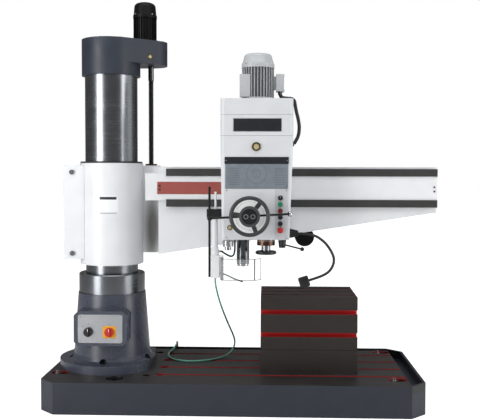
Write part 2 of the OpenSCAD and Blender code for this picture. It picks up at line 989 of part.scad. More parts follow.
module arm_cells() {
    cell = (arm_end - neck_x - 2 * arm_wall + rib_t) / arm_cells;
    intersection() {
        along_y(web_front + arm_wall + 5, arm_rear + over)
            beam_outline(arm_wall);
        for (i = [0 : arm_cells - 1])
            translate([neck_x + arm_wall + i * cell, -base_w / 2, 0])
                cube([cell - rib_t, base_w, machine_h]);
    }
}

module arm_casting() {
    neck_bottom = arm_top - root_depth - 5;
    boss_half = 60;
    color(white)
        difference() {
            union() {
                bar_z(0, 0, sleeve_bottom, sleeve_top, sleeve_r);
                translate([clamp_x, -clamp_half, clamp_z])
                    cube([-clamp_x - column_d / 2 + 20, 2 * clamp_half, clamp_h]);
                along_y(web_front, arm_rear)
                    beam_outline();
                translate([column_d / 2, neck_front, neck_bottom])
                    cube([neck_x - column_d / 2 + over, arm_rear - neck_front, arm_top - neck_bottom]);
                translate([band_x, band_front, band_low])
                    cube([way_x - band_x, neck_front - band_front + over, band_top - band_low]);
                translate([band_x, band_front, way_bottom + way_h])
                    cube([arm_end - band_x, web_front - band_front + over, way_top - way_bottom - 2 * way_h]);
                translate([lobe_x - boss_half, lobe_y - boss_half, arm_top - over])
                    cube([2 * boss_half, arm_rear - lobe_y + boss_half, nut_boss_t + over]);
            }
            bar_z(0, 0, sleeve_bottom - over, sleeve_top + over, column_d / 2 + run_fit);
            translate([clamp_x - over, -slit / 2, clamp_z - clamp_h])
                cube([-clamp_x - column_d / 2 + 10, slit, 3 * clamp_h]);
            for (z = clamp_bolt_z)
                bar_y(clamp_bolt_x, z, -clamp_half - over, clamp_half + over, clamp_bolt_r + loose);
            bar_z(lobe_x, lobe_y, neck_bottom - over, arm_top + 2 * nut_boss_t, nut_body_r);
            arm_cells();
        }
}

// The guide ways: bars with an undercut edge that the head hooks behind
module upper_way() {
    low = way_top - way_h;
    color(dark_steel)
        along_x(way_x, arm_end)
            polygon([
                [way_front, low], [way_front, way_top], [web_front, way_top - undercut], [web_front, low]
            ]);
}

module lower_way() {
    high = way_bottom + way_h;
    color(dark_steel)
        along_x(way_x, arm_end)
            polygon([
                [way_front, high], [web_front, high], [web_front, way_bottom + undercut],
                [way_front, way_bottom]
            ]);
}

module cover_strip() {
    hole_x = strip_x + 17;
    color(red)
        difference() {
            along_y(band_front - strip_t, band_front)
                translate([strip_x, strip_z])
                    square([strip_l, strip_h]);
            for (z = strip_hole_z)
                bar_y(hole_x, z, band_front - 2 * strip_t, band_front + over, strip_hole_r);
        }
}

module wiper_ring() {
    color(black)
        ring_z(sleeve_top, sleeve_top + ring_t, column_d / 2 + run_fit, sleeve_r - 5);
}

module lift_nut() {
    seat = arm_top + nut_boss_t;
    nut_l = 110;
    color("#9a7a3c")
        translate([lobe_x, lobe_y, 0])
            difference() {
                union() {
                    bar_z(0, 0, seat - nut_l, seat + nut_flange_t, nut_body_r);
                    bar_z(0, 0, seat, seat + nut_flange_t, nut_flange_r - 12);
                }
                bar_z(0, 0, seat - nut_l - over, seat + 2 * nut_flange_t, screw_r + run_fit);
            }
}

module clamp_bolts() {
    head_t = 12;
    color(dark_steel)
        for (z = clamp_bolt_z) {
            bar_y(clamp_bolt_x, z, -clamp_half, clamp_half, clamp_bolt_r);
            bar_y(clamp_bolt_x, z, -clamp_half - head_t, -clamp_half, clamp_head_r);
            bar_y(clamp_bolt_x, z, clamp_half, clamp_half + head_t, clamp_head_r);
        }
}

module arm_rear_cover() {
    color(white)
        along_y(arm_rear, arm_rear + cover_t)
            beam_outline(arm_wall / 2);
}

// Round clamping pump motor that hangs from the rear of the arm
module clamp_pump() {
    front = arm_rear + cover_t;
    plate_half = 48;
    plate_top = 1240;
    color(black) {
        along_y(front, front + pump_plate_t)
            translate([pump_x - plate_half, pump_z])
                square([2 * plate_half, plate_top - pump_z]);
        bar_y(pump_x, pump_z, front, front + pump_l, pump_r);
    }
}

// The head seen from above, with rounded front corners
module head_plan(inset = 0) {
    x0 = head_left + inset;
    x1 = head_right - inset;
    y0 = head_front + inset;
    y1 = head_rear - inset;
    r = max(corner_r - inset, over);
    translate([x0, y0 + r])
        square([x1 - x0, y1 - y0 - r]);
    translate([x0 + r, y0])
        square([x1 - x0 - 2 * r, 2 * r]);
    for (x = [x0 + r, x1 - r])
        translate([x, y0 + r])
            circle(r = r);
}

// Where the head's sides stand at a height below the gear case
function side_left(z) = head_left + lean_left * (case_z - z) / (case_z - head_bottom);
function side_right(z) = head_right - lean_right * (case_z - z) / (case_z - head_bottom);

// A lip that hooks behind a way's undercut edge, above the upper way
module upper_lip() {
    slope = undercut / (web_front - way_front);
    gap = slide_gap * sqrt(1 + slope * slope);
    along_x(head_left + lean_left, head_right - lean_right)
        polygon([
            [head_rear - over, way_top + lip_h], [head_rear - over, way_top + gap],
            [way_front, way_top + gap], [lip_back, way_top + gap - slope * (lip_back - way_front)],
            [lip_back, way_top + lip_h]
        ]);
}

module lower_lip() {
    slope = undercut / (web_front - way_front);
    gap = slide_gap * sqrt(1 + slope * slope);
    along_x(head_left + lean_left, head_right - lean_right)
        polygon([
            [head_rear - over, way_bottom - lip_h], [lip_back, way_bottom - lip_h],
            [lip_back, way_bottom - gap + slope * (lip_back - way_front)], [way_front, way_bottom - gap],
            [head_rear - over, way_bottom - gap]
        ]);
}

module head_casting() {
    chamber_bore = 46;
    pinion_bore = feed_teeth * feed_module / 2 + 3;
    color(white)
        difference() {
            union() {
                intersection() {
                    translate([0, 0, head_bottom])
                        linear_extrude(case_z - head_bottom)
                            head_plan();
                    along_y(head_front - over, head_rear + over)
                        polygon([
                            [side_left(head_bottom), head_bottom], [side_right(head_bottom), head_bottom],
                            [head_right, case_z], [head_left, case_z]
                        ]);
                }
                upper_lip();
                lower_lip();
            }
            bar_z(spindle_x, spindle_y, head_bottom - over, case_z, quill_r + run_fit);
            bar_z(spindle_x, spindle_y, quill_top + 2, case_z, chamber_bore);
            difference() {
                translate([0, 0, chamber_z])
                    linear_extrude(case_z - chamber_z + over)
                        head_plan(head_wall);
                bar_z(spindle_x, spindle_y, chamber_z - over, quill_top, quill_guide_r);
            }
            translate([feed_chamber_x, head_front - over, feed_chamber_z])
                cube([feed_chamber_w, feed_chamber_back - head_front + over, feed_chamber_h]);
            bar_y(feed_x, feed_z, feed_chamber_back - over, spindle_y - 35, feed_sleeve_r + run_fit);
            bar_y(feed_x, feed_z, spindle_y - 36, spindle_y + 35, pinion_bore);
            bar_y(feed_x, feed_z, spindle_y + 34, wheel_shaft_end + 2, wheel_shaft_r + run_fit);
            for (x = [fine_x, shift_x])
                bar_z(x, fine_y, head_bottom - over, feed_chamber_z + over, knob_shaft + run_fit);
            bar_z(lock_x, lock_y, head_bottom - over, head_bottom + lock_in + over, lock_shaft_r + run_fit);
        }
}

module gear_case() {
    color(white)
        difference() {
            translate([0, 0, case_z])
                linear_extrude(cover_z - case_z)
                    head_plan();
            translate([0, 0, case_z + case_floor])
                linear_extrude(cover_z)
                    head_plan(case_wall);
            bar_z(spindle_x, spindle_y, case_z - over, cover_z, sleeve_drive_r + run_fit);
        }
}

module head_cover() {
    color(white)
        difference() {
            translate([0, 0, cover_z])
                linear_extrude(head_top - cover_z)
                    head_plan();
            translate([0, 0, cover_z - over])
                linear_extrude(head_top - cover_z - cover_top_t + over)
                    head_plan(case_wall);
            bar_z(motor_x, spindle_y, cover_z, head_top + over, motor_shaft_r + run_fit);
        }
}

// A thin plate on the front of the head
module front_plate(x, z, w, h) {
    along_y(panel_front, head_front)
        translate([x, z])
            square([w, h]);
}

module chart_plate() {
    color("#8d949b")
        front_plate(panel_x, chart_z, panel_w, chart_h);
}

module control_panel() {
    boss_r = 48;
    boss_t = 12;
    color("#c9cbcd")
        difference() {
            union() {
                front_plate(panel_x, panel_z, panel_w, panel_h);
                bar_y(feed_x, feed_z, panel_front - boss_t, panel_front, boss_r);
                for (z = button_zs)
                    bar_y(button_x, z, panel_front - bezel_t, panel_front, bezel_r);
            }
            bar_y(feed_x, feed_z, panel_front - 2 * boss_t, head_front + over, feed_sleeve_r + run_fit);
            for (z = button_zs)
                bar_y(button_x, z, panel_front - 2 * bezel_t, head_front + over, button_r + button_play);
        }
}

// Oil sight glasses in brass rings
module sight_glasses() {
    sight_r = 27;
    plug_r = 16;
    proud = 10;
    color("#8a6b2d") {
        bar_y(sight_x, sight_z, head_front - proud, head_front, sight_r);
        bar_y(plug_x, plug_z, panel_front - proud, panel_front, plug_r);
    }
}

head_cowl_z = 2166;
head_fin_r = 101;
head_core_r = 91;
head_motor_top = 2244;

module head_motor() {
    box_x = 881;
    box_w = 66;
    box_front = -428;
    box_d = 60;
    box_h = 139;
    shaft_in = 40;
    color("#c8cacc")
        difference() {
            union() {
                translate([motor_x, spindle_y, 0])
                    finned_motor(head_top, head_cowl_z, 16, head_core_r, head_fin_r, 32, 10);
                translate([box_x, box_front, head_top + 16])
                    cube([box_w, box_d, box_h]);
            }
            bar_z(motor_x, spindle_y, head_top - over, head_top + shaft_in, motor_shaft_r + loose);
        }
}

module head_motor_cowl() {
    dome = 22;
    top_r = 88;
    skirt = 16;
    color("#c8cacc")
        translate([motor_x, spindle_y, 0])
            fan_cowl(head_cowl_z, head_motor_top, head_fin_r + 2, top_r, skirt, dome);
}

module terminal_box() {
    box_x = motor_x + head_fin_r + 12;
    box_w = 50;
    box_z = terminal_z;
    box_h = 107;
    box_half = 42;
    neck_half = 30;
    color("#d3d5d6")
        difference() {
            union() {
                translate([box_x, spindle_y - box_half, box_z])
                    cube([box_w, 2 * box_half, box_h]);
                translate([motor_x, spindle_y - neck_half, box_z + 14])
                    cube([box_x - motor_x + over, 2 * neck_half, box_h - 28]);
            }
            bar_z(motor_x, spindle_y, box_z - over, box_z + box_h + over, head_fin_r + run_fit);
        }
}

module motor_conduit() {
    conduit_r = 12;
    gland_r = 16;
    color(black) {
        swept_tube(conduit_route, conduit_r, 4, 10, [1, 0, 0]);
        translate([side_right(gland_z), gland_y, gland_z])
            rotate([0, 90 + atan(lean_right / (case_z - head_bottom)), 0])
                cylinder(r = gland_r, h = 22);
    }
}

// Clamp block on the head's left side that carries the guard's post
module guard_bracket() {
    half = 32;
    x0 = 678;
    color(black)
        difference() {
            along_y(guard_y - half, guard_y + half)
                polygon([
                    [x0, bracket_z], [side_left(bracket_z), bracket_z],
                    [side_left(bracket_z + bracket_h), bracket_z + bracket_h], [x0, bracket_z + bracket_h]
                ]);
            bar_z(rod_x, guard_y, bracket_z - over, bracket_z + bracket_h + over, rod_r + run_fit);
            bar_z(pipe_x, guard_y, bracket_z - over, bracket_z + bracket_h + over, pipe_r + run_fit);
        }
}

// Guard post: a rod and a tube that hang from the bracket, with the switch box and its hinge pin at the foot
module guard_post() {
    box_top = guard_box_z + guard_box_h;
    lug_z = hinge_z + hinge_h + loose;
    color(white) {
        bar_z(rod_x, guard_y, rod_bottom, rod_top, rod_r);
        bar_z(pipe_x, guard_y, bracket_z - 4, pipe_top, pipe_r);
        bar_z(tube_x, guard_y, box_top, bracket_z, tube_r);
        bar_z(tube_x, guard_y, box_top, box_top + knuckle_h, knuckle_r);
        translate([tube_x, stub_y, stub_z])
            rotate([0, 90, 0])
                cylinder(r = stub_r, h = stub_x - tube_x);
        translate([guard_box_x, guard_y - guard_box_half, guard_box_z])
            cube([guard_box_w, 2 * guard_box_half, guard_box_h]);
        translate([tube_x, hinge_y - hinge_half, lug_z])
            cube([hinge_x + hinge_half - tube_x, 2 * hinge_half, box_top - lug_z]);
        bar_z(hinge_x, hinge_y, hinge_z + hinge_pin_r, box_top, hinge_pin_r);
    }
}

// Grey bar that turns on the pin beside the switch box and carries the clear shield
module guard_hinge() {
    color("#8e9194")
        difference() {
            translate([hinge_x - hinge_half, hinge_y - hinge_half, hinge_z])
                cube([2 * hinge_half, 2 * hinge_half, hinge_h]);
            bar_z(hinge_x, hinge_y, hinge_z - over, hinge_z + hinge_h + over, hinge_pin_r + run_fit);
        }
}

// Clear sheet with a bent right-hand wing, fixed to the front of the hinge bar
module guard_shield() {
    back = hinge_y - hinge_half;
    bend = hinge_x + shield_w;
    wing = [shield_turn_x, shield_turn_y];
    edge = unit([-wing.y, wing.x]) * shield_t;
    color("#dfe9ee", 0.5)
        translate([0, 0, shield_z])
            linear_extrude(shield_h) {
                translate([hinge_x - shield_start, back - shield_t])
                    square([shield_w + shield_start, shield_t]);
                translate([bend, back - shield_t])
                    polygon([[0, 0], wing, wing + edge, [0, shield_t]]);
            }
}

// Dark coolant pipe that loops up under the head, and the nozzle beside the spindle
module coolant_line() {
    color("#1f3a33") {
        swept_tube(loop_route, 6, 4, 10, [0, 1, 0]);
        swept_tube(nozzle_route, 5, 3, 10, [0, 1, 0]);
    }
}

module lamp_bracket() {
    half = 26;
    z1 = lamp_bracket_z + lamp_bracket_h;
    color(black)
        along_y(lamp_y - half, lamp_y + half)
            polygon([
                [side_right(lamp_bracket_z), lamp_bracket_z], [lamp_bracket_x1, lamp_bracket_z + 12],
                [lamp_bracket_x1, z1 - 14], [side_right(z1), z1]
            ]);
}

module gooseneck() {
    color(black)
        swept_tube(gooseneck_route, 9, 3, 12, [0, 1, 0]);
}

module lamp_head() {
    color(black)
        translate([lamp_x, lamp_y, lamp_z])
            rotate([0, -lamp_tilt, 0])
                translate([-lamp_size / 2, -lamp_depth / 2, -lamp_size / 2])
                    cube([lamp_size, lamp_depth, lamp_size]);
}

// Quill with a rack cut in its right side for the feed pinion
module quill() {
    pitch = PI * feed_module;
    line_x = feed_x - feed_teeth * feed_module / 2;
    tip_x = line_x + tooth_up * feed_module;
    root_x = line_x - tooth_down * feed_module;
    lean = tan(pressure);
    tip_half = pitch / 4 + tooth_up * feed_module * lean + backlash;
    root_half = pitch / 4 - tooth_down * feed_module * lean + backlash;
    first = -4;
    last = floor(quill_travel / pitch) + 2;
    flat_end = pitch;
    half_w = 30;
    color(steel)
        difference() {
            bar_z(spindle_x, spindle_y, quill_nose, quill_top, quill_r);
            bar_z(spindle_x, spindle_y, quill_nose - over, quill_top + over, spindle_r + run_fit);
            translate([tip_x, spindle_y - half_w, feed_z + first * pitch - flat_end])
                cube([quill_r, 2 * half_w, (last - first) * pitch + 2 * flat_end]);
            along_y(spindle_y - half_w, spindle_y + half_w)
                for (k = [first : last])
                    translate([0, feed_z + k * pitch])
                        polygon([
                            [root_x, -root_half], [tip_x + over, -tip_half - over * lean],
                            [tip_x + over, tip_half + over * lean], [root_x, root_half]
                        ]);
        }
}

// Spindle with a taper socket in its nose and a long drive shaft above
module spindle() {
    color("#7d7f81")
        difference() {
            union() {
                bar_z(spindle_x, spindle_y, nose_bottom, quill_nose - run_fit, nose_r);
                bar_z(spindle_x, spindle_y, nose_bottom, spindle_shoulder, spindle_r);
                bar_z(spindle_x, spindle_y, nose_bottom + taper_l + 60, spindle_top, spindle_top_r);
            }
            translate([spindle_x, spindle_y, nose_bottom])
                cylinder(r1 = taper_r, r2 = taper_end_r, h = taper_l);
        }
}

module drive_gear() {
    color(steel)
        translate([spindle_x, spindle_y, 0])
            difference() {
                union() {
                    bar_z(0, 0, sleeve_drive_z, drive_z + drive_h + 15, sleeve_drive_r);
                    translate([0, 0, drive_z])
                        linear_extrude(drive_h)
                            polygon(gear_outline(drive_teeth, drive_module));
                    bar_z(0, 0, case_z + case_floor + run_fit, drive_z, sleeve_drive_r + 10);
                }
                bar_z(0, 0, sleeve_drive_z - over, drive_z + 2 * drive_h, spindle_top_r + run_fit);
            }
}

module motor_pinion() {
    shaft_top = head_top + 38;
    color(steel)
        translate([motor_x, spindle_y, 0]) {
            translate([0, 0, drive_z])
                rotate(180 / motor_teeth)
                    linear_extrude(drive_h)
                        polygon(gear_outline(motor_teeth, drive_module));
            bar_z(0, 0, drive_z, shaft_top, motor_shaft_r);
        }
}

// Feed levers on a boss behind the handwheel, with the hollow shaft that turns the feed pinion
module feed_levers() {
    boss_back = panel_front - 12 - loose;
    boss_front = lever_y - 12;
    color(dark_steel)
        difference() {
            union() {
                bar_y(feed_x, feed_z, boss_front, boss_back, lever_boss_r);
                translate([feed_x, lever_y, feed_z])
                    rotate([0, -lever_tilt, 0])
                        for (s = [-1, 1]) {
                            rotate([0, s * 90, 0])
                                cylinder(r = lever_r, h = lever_reach - ball_r);
                            translate([s * (lever_reach - ball_r), 0, 0])
                                sphere(r = ball_r);
                        }
                bar_y(feed_x, feed_z, boss_back - over, spindle_y - 37, feed_sleeve_r);
                bar_y(feed_x, feed_z, spindle_y - 38, spindle_y - 22, feed_neck_r);
                along_y(spindle_y - 22, spindle_y + 22)
                    translate([feed_x, feed_z])
                        polygon(gear_outline(feed_teeth, feed_module));
            }
            bar_y(feed_x, feed_z, boss_front - over, spindle_y + 30, wheel_shaft_r + run_fit);
        }
}

// Three-spoked handwheel on the shaft that runs through the feed levers' boss
module traverse_wheel() {
    spoke_w = 26;
    spoke_t = 12;
    spoke_turn = 52;
    hub_back = lever_y - 12 - loose;
    hub_front = wheel_y - 22;
    cap_t = 8;
    color(black) {
        translate([feed_x, wheel_y, feed_z])
            rotate([90, 0, 0]) {
                rotate_extrude()
                    translate([wheel_r - rim_r, 0])
                        circle(r = rim_r);
                for (i = [0 : 2])
                    rotate(spoke_turn + 120 * i)
                        translate([wheel_hub_r - 10, -spoke_w / 2, -spoke_t / 2])
                            cube([wheel_r - rim_r - wheel_hub_r + 10, spoke_w, spoke_t]);
            }
        bar_y(feed_x, feed_z, hub_front, hub_back, wheel_hub_r);
        bar_y(feed_x, feed_z, hub_front - cap_t, hub_front, wheel_cap_r);
        bar_y(feed_x, feed_z, hub_back - over, wheel_shaft_end, wheel_shaft_r);
    }
}

// Fine feed knob under the head: graduated dial, neck and hand disc on one shaft
module fine_feed_knob() {
    dial_z = head_bottom - loose - dial_h;
    shaft_top = feed_chamber_z + 12;
    edge = fine_disc_t / 2;
    color("#5a4030")
        translate([fine_x, fine_y, 0]) {
            bar_z(0, 0, dial_z, dial_z + dial_h, dial_r);
            bar_z(0, 0, fine_bottom, dial_z, fine_neck_r);
            translate([0, 0, fine_bottom + edge])
                rotate_extrude() {
                    translate([0, -edge])
                        square([fine_disc_r - edge, fine_disc_t]);
                    translate([fine_disc_r - edge, 0])
                        circle(r = edge);
                }
            bar_z(0, 0, dial_z, shaft_top, knob_shaft);
        }
}

// Shift lever under the head: a tapered hub with a thin lever and a ball
module shift_lever() {
    shaft_top = feed_chamber_z + 12;
    hub_top = head_bottom - loose;
    rod_r = 5;
    rod_l = 128;
    dip = 14;
    tip_r = 13;
    color(black)
        translate([shift_x, fine_y, 0]) {
            translate([0, 0, shift_z])
                cylinder(r1 = shift_tip_r, r2 = shift_r, h = hub_top - shift_z);
            bar_z(0, 0, hub_top - over, shaft_top, knob_shaft);
            translate([0, 0, shift_z + 22])
                rotate([0, 90 + dip, 0]) {
                    cylinder(r = rod_r, h = rod_l);
                    translate([0, 0, rod_l])
                        sphere(r = tip_r);
                }
        }
}

// Knurled knob under the head that locks the quill
module quill_lock() {
    grooves = 24;
    groove_r = 1.6;
    color(steel)
        translate([lock_x, lock_y, 0])
            difference() {
                union() {
                    bar_z(0, 0, lock_z, lock_z + lock_h, lock_r);
                    bar_z(0, 0, lock_end_z, lock_z, lock_end_r);
                    bar_z(0, 0, lock_z, head_bottom + lock_in, lock_shaft_r);
                }
                for (i = [0 : grooves - 1])
                    rotate(360 * i / grooves)
                        bar_z(lock_r, 0, lock_z - over, lock_z + lock_h + over, groove_r);
            }
}

// A push button's cap on a stem that runs through the panel
module push_button(z, cap_r, proud) {
    stem_in = 14;
    bar_y(button_x, z, panel_front - bezel_t - proud, head_front + stem_in, cap_r);
}

module mode_switch() {
    bar_t = 9;
    color(black) {
        push_button(mode_z, button_r, 4);
        along_y(panel_front - bezel_t - 4 - bar_t, panel_front - bezel_t - 4)
            translate([button_x - 4, mode_z - button_r + 1])
                square([8, 2 * button_r - 2]);
    }
}

module start_button() {
    color("#1e8f6a")
        push_button(start_z, button_r, button_proud);
}

module stop_button() {
    color("#b02428")
        push_button(stop_z, button_r, button_proud);
}

module up_button() {
    color(black)
        push_button(up_z, button_r, button_proud);
}

module down_button() {
    color(black)
        push_button(down_z, button_r, button_proud);
}

// Mushroom-headed emergency stop
module emergency_stop() {
    head_r = 19;
    head_t = 12;
    stalk = 6;
    front = panel_front - bezel_t - stalk;
    color("#b02428") {
        push_button(halt_z, button_r, stalk);
        bar_y(button_x, halt_z, front - head_t, front, head_r);
    }
}

module coolant_hose() {
    color("#4f8a7c")
        swept_tube(hose_route, hose_d / 2, 3, 10, [0, 0, 1]);
}

base_plate();
levelling_screws();
pedestal();
pedestal_bolts();
inner_column();
column_bearings();
switch_plate();
isolator_knob();
selector_knob();
box_table();
hose_fitting();
outer_column();
column_cap();
cap_lid();
lift_motor();
lift_motor_cowl();
lift_screw();
arm_casting();
upper_way();
lower_way();
cover_strip();
wiper_ring();
lift_nut();
clamp_bolts();
arm_rear_cover();
clamp_pump();
head_casting();
gear_case();
head_cover();
chart_plate();
control_panel();
sight_glasses();
head_motor();
head_motor_cowl();
terminal_box();
motor_conduit();
guard_bracket();
guard_post();
guard_hinge();
guard_shield();
coolant_line();
lamp_bracket();
gooseneck();
lamp_head();
quill();
spindle();
drive_gear();
motor_pinion();
feed_levers();
traverse_wheel();
fine_feed_knob();
shift_lever();
quill_lock();
mode_switch();
start_button();
stop_button();
up_button();
down_button();
emergency_stop();
coolant_hose();
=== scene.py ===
import functools
import math

import bmesh
import bpy
from mathutils import Matrix, Vector


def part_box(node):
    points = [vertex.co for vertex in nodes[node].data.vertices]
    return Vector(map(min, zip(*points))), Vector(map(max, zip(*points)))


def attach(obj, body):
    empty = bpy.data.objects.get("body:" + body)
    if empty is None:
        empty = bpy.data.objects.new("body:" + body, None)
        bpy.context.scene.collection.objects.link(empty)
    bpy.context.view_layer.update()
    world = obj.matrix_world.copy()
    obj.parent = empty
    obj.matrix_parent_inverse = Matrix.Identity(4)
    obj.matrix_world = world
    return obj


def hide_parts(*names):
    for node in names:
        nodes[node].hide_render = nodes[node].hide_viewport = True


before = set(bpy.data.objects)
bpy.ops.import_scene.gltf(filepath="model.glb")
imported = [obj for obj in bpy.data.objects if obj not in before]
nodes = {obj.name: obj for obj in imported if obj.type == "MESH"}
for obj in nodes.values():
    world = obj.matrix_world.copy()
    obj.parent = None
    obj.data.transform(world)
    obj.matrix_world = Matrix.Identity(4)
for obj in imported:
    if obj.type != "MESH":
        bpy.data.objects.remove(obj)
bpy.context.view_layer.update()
scene = bpy.context.scene
scene.view_settings.view_transform = "Standard"
MM = 0.001

# Camera: a medium lens in front of the head, a little above the middle of the machine
# and turned a few degrees towards the column.
LENS_MM, SENSOR_MM = 59.47, 36.0
EYE = (1.05318, -5.34855, 1.49011)
PAN, TILT, ROLL = 0.03417, -0.04463, 0.00223

camera = bpy.data.objects.new("camera", bpy.data.cameras.new("camera"))
camera.data.lens = LENS_MM
camera.data.sensor_width = SENSOR_MM
camera.matrix_world = (
    Matrix.Translation(EYE)
    @ Matrix.Rotation(PAN, 4, "Z")
    @ Matrix.Rotation(math.pi / 2 + TILT, 4, "X")
    @ Matrix.Rotation(ROLL, 4, "Z")
)
scene.collection.objects.link(camera)
scene.camera = camera

# Coolant hose: soft green PVC tube, extruded, pushed over the elbow on the base's rear rim.
# It lies slack on the base and climbs to the guard's box, with a steel clip at each end.
HOSE_D = 12 * MM
HOSE_STEPS = 6
HOSE_ROUTE = [
    (384, 511, 228), (384, 491, 228), (382, 468, 225.5), (376, 430, 218), (362, 372, 209),
    (351, 300, 206.3), (357, 210, 206.3), (385, 133, 206.3), (430, 80, 206.3), (490, 52, 206.3),
    (561, 51, 206.3), (625, 70, 206.3), (682, 105, 206.3), (735, 156, 209), (778, 200, 220),
    (809, 226, 246), (826, 226, 288), (826, 194, 334), (814, 132, 388), (783, 0, 498),
    (762, -118, 588), (752, -200, 643), (745, -262, 686), (740, -312, 723), (736, -352, 756),
    (732, -382, 786), (730, -397, 815), (730, -400, 844.5),
]


def smooth(route, steps):
    """A Catmull-Rom curve through a route given in millimetres, as points in metres."""
    knots = [Vector(p) * MM for p in route]
    knots = [knots[0]] + knots + [knots[-1]]
    points = []
    for a, b, c, d in zip(knots, knots[1:], knots[2:], knots[3:]):
        for step in range(steps):
            t = step / steps
            points.append((2 * b + (c - a) * t + (2 * a - 5 * b + 4 * c - d) * t * t
                           + (3 * b - a - 3 * c + d) * t ** 3) / 2)
    return points + [knots[-1]]


def linear(colour):
    """An sRGB hex colour as linear red, green, blue and alpha."""
    parts = [int(colour[i:i + 2], 16) / 255 for i in (1, 3, 5)]
    return [c / 12.92 if c <= 0.04045 else ((c + 0.055) / 1.055) ** 2.4 for c in parts] + [1.0]


def join(value, socket):
    """Links a node or an output to an input, or sets a value on it. Colours are in hex."""
    if isinstance(value, str) and value.startswith("#"):
        value = linear(value)
    if isinstance(value, bpy.types.Node):
        value = next(output for output in value.outputs if output.enabled)
    if isinstance(value, bpy.types.NodeSocket):
        socket.id_data.links.new(value, socket)
    else:
        socket.default_value = value


def set_on(node, **values):
    """Joins values to a node's inputs, named with underscores for spaces."""
    sockets = {socket.name: socket for socket in node.inputs if socket.enabled}
    for name, value in values.items():
        join(value, sockets[name.replace("_", " ")])


def add_node(tree, kind, *inputs, **named):
    """Adds a node of a kind, which its operation or data type may follow. Lower-case names are
    its other settings, and its inputs come in their order or by name."""
    kind, _, choice = kind.partition(" ")
    families = ("ShaderNode", "GeometryNode", "FunctionNode", "")
    node = tree.nodes.new(next(f + kind for f in families if hasattr(bpy.types, f + kind)))
    if choice:
        setattr(node, "operation" if hasattr(node, "operation") else "data_type", choice)
    for name in filter(str.islower, named):
        setattr(node, name, named[name])
    for value, socket in zip(inputs, [socket for socket in node.inputs if socket.enabled]):
        join(value, socket)
    set_on(node, **{name: value for name, value in named.items() if not name.islower()})
    return node


def finish_named(name):
    """A new material, a function that adds its nodes, its shader and the Object coordinates."""
    material = bpy.data.materials.new(name)
    material.use_nodes = True
    node = functools.partial(add_node, material.node_tree)
    shader = material.node_tree.nodes["Principled BSDF"]
    return material, node, shader, node("TexCoord").outputs["Object"]


def mottle(node, coords, patch_mm, detail, deep, light, smoothest, roughest):
    """A tone between two colours and a roughness that change together, in patches of a size."""
    patch = node("TexNoise", Vector=coords, Scale=1 / (patch_mm * MM), Detail=detail)
    tone = node("Mix RGBA", patch, deep, light)
    return tone, node("MapRange", Value=patch, To_Min=smoothest, To_Max=roughest)


def keep(name, mesh, body, finish=None):
    """Turns a mesh into a finished piece on a body. Edges over 35 degrees stay sharp."""
    if finish:
        mesh.materials.append(finish)
    mesh.shade_smooth()
    mesh.set_sharp_from_angle(angle=math.radians(35))
    piece = bpy.data.objects.new(name, mesh)
    scene.collection.objects.link(piece)
    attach(piece, body)
    return piece


def mesh_of(name, shape):
    """A mesh from a bmesh, with its doubles merged and its faces turned outwards."""
    bmesh.ops.remove_doubles(shape, verts=shape.verts, dist=1e-6)
    bmesh.ops.recalc_face_normals(shape, faces=shape.faces)
    mesh = bpy.data.meshes.new(name)
    shape.to_mesh(mesh)
    shape.free()
    return mesh


def loft(shape, rings):
    """Joins closed rings of vertices, each to the next, with faces. A ring may be one vertex."""
    for low, high in zip(rings, rings[1:]):
        count = max(len(low), len(high))
        for k in range(count):
            pairs = [(low, k), (low, k + 1), (high, k + 1), (high, k)]
            shape.faces.new(list(dict.fromkeys(ring[n % count % len(ring)] for ring, n in pairs)))


def turned(name, profile, centre, axis, body, finish, segments=48):
    """A piece turned round an axis from a profile of (radius, distance along it) in millimetres."""
    spin = Vector((0, 0, 1)).rotation_difference(Vector(axis)).to_matrix()
    shape = bmesh.new()
    rings = []
    for radius, along in profile:
        turns = [math.tau * k / segments for k in range(segments if radius else 1)]
        rings.append([shape.verts.new((Vector(centre) + spin @ Vector(
            (radius * math.cos(t), radius * math.sin(t), along))) * MM) for t in turns])
    loft(shape, rings)
    return keep(name, mesh_of(name, shape), body, finish)


# Plasticised PVC is slightly glossy and lets a little light in; handling leaves dull patches.
soft_pvc, node, shader, coords = finish_named("green soft PVC")
HANDLING_MM = 60
tone, gloss = mottle(node, coords, HANDLING_MM, 3.0, "#5a9c86", "#78b8a2", 0.28, 0.5)
set_on(shader, Base_Color=tone, Roughness=gloss, IOR=1.53,
       Subsurface_Weight=0.25, Subsurface_Scale=0.004, Subsurface_Radius=(0.4, 1.0, 0.8))

hose_points = smooth(HOSE_ROUTE, HOSE_STEPS)
hose_curve = bpy.data.curves.new("coolant_hose_tube", "CURVE")
hose_curve.dimensions = "3D"
hose_curve.bevel_depth = HOSE_D / 2
hose_curve.bevel_resolution = 5
hose_curve.use_fill_caps = True
spline = hose_curve.splines.new("POLY")
spline.points.add(len(hose_points) - 1)
for point, place in zip(spline.points, hose_points):
    point.co = (*place, 1.0)
hose_curve.materials.append(soft_pvc)
hose = bpy.data.objects.new("coolant_hose_tube", hose_curve)
scene.collection.objects.link(hose)
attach(hose, "base")
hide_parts("coolant_hose")

# Cold-rolled strip, zinc plated: bright, a little cloudy from the bath.
zinc, node, shader, coords = finish_named("zinc plated steel")
CLOUD_MM = 14
cloud = node("TexNoise", Vector=coords, Scale=1 / (CLOUD_MM * MM), Detail=4.0)
patch = node("MapRange", Value=cloud, To_Min=0.22, To_Max=0.45)
set_on(shader, Base_Color="#b9bbbd", Metallic=1.0, Roughness=patch)

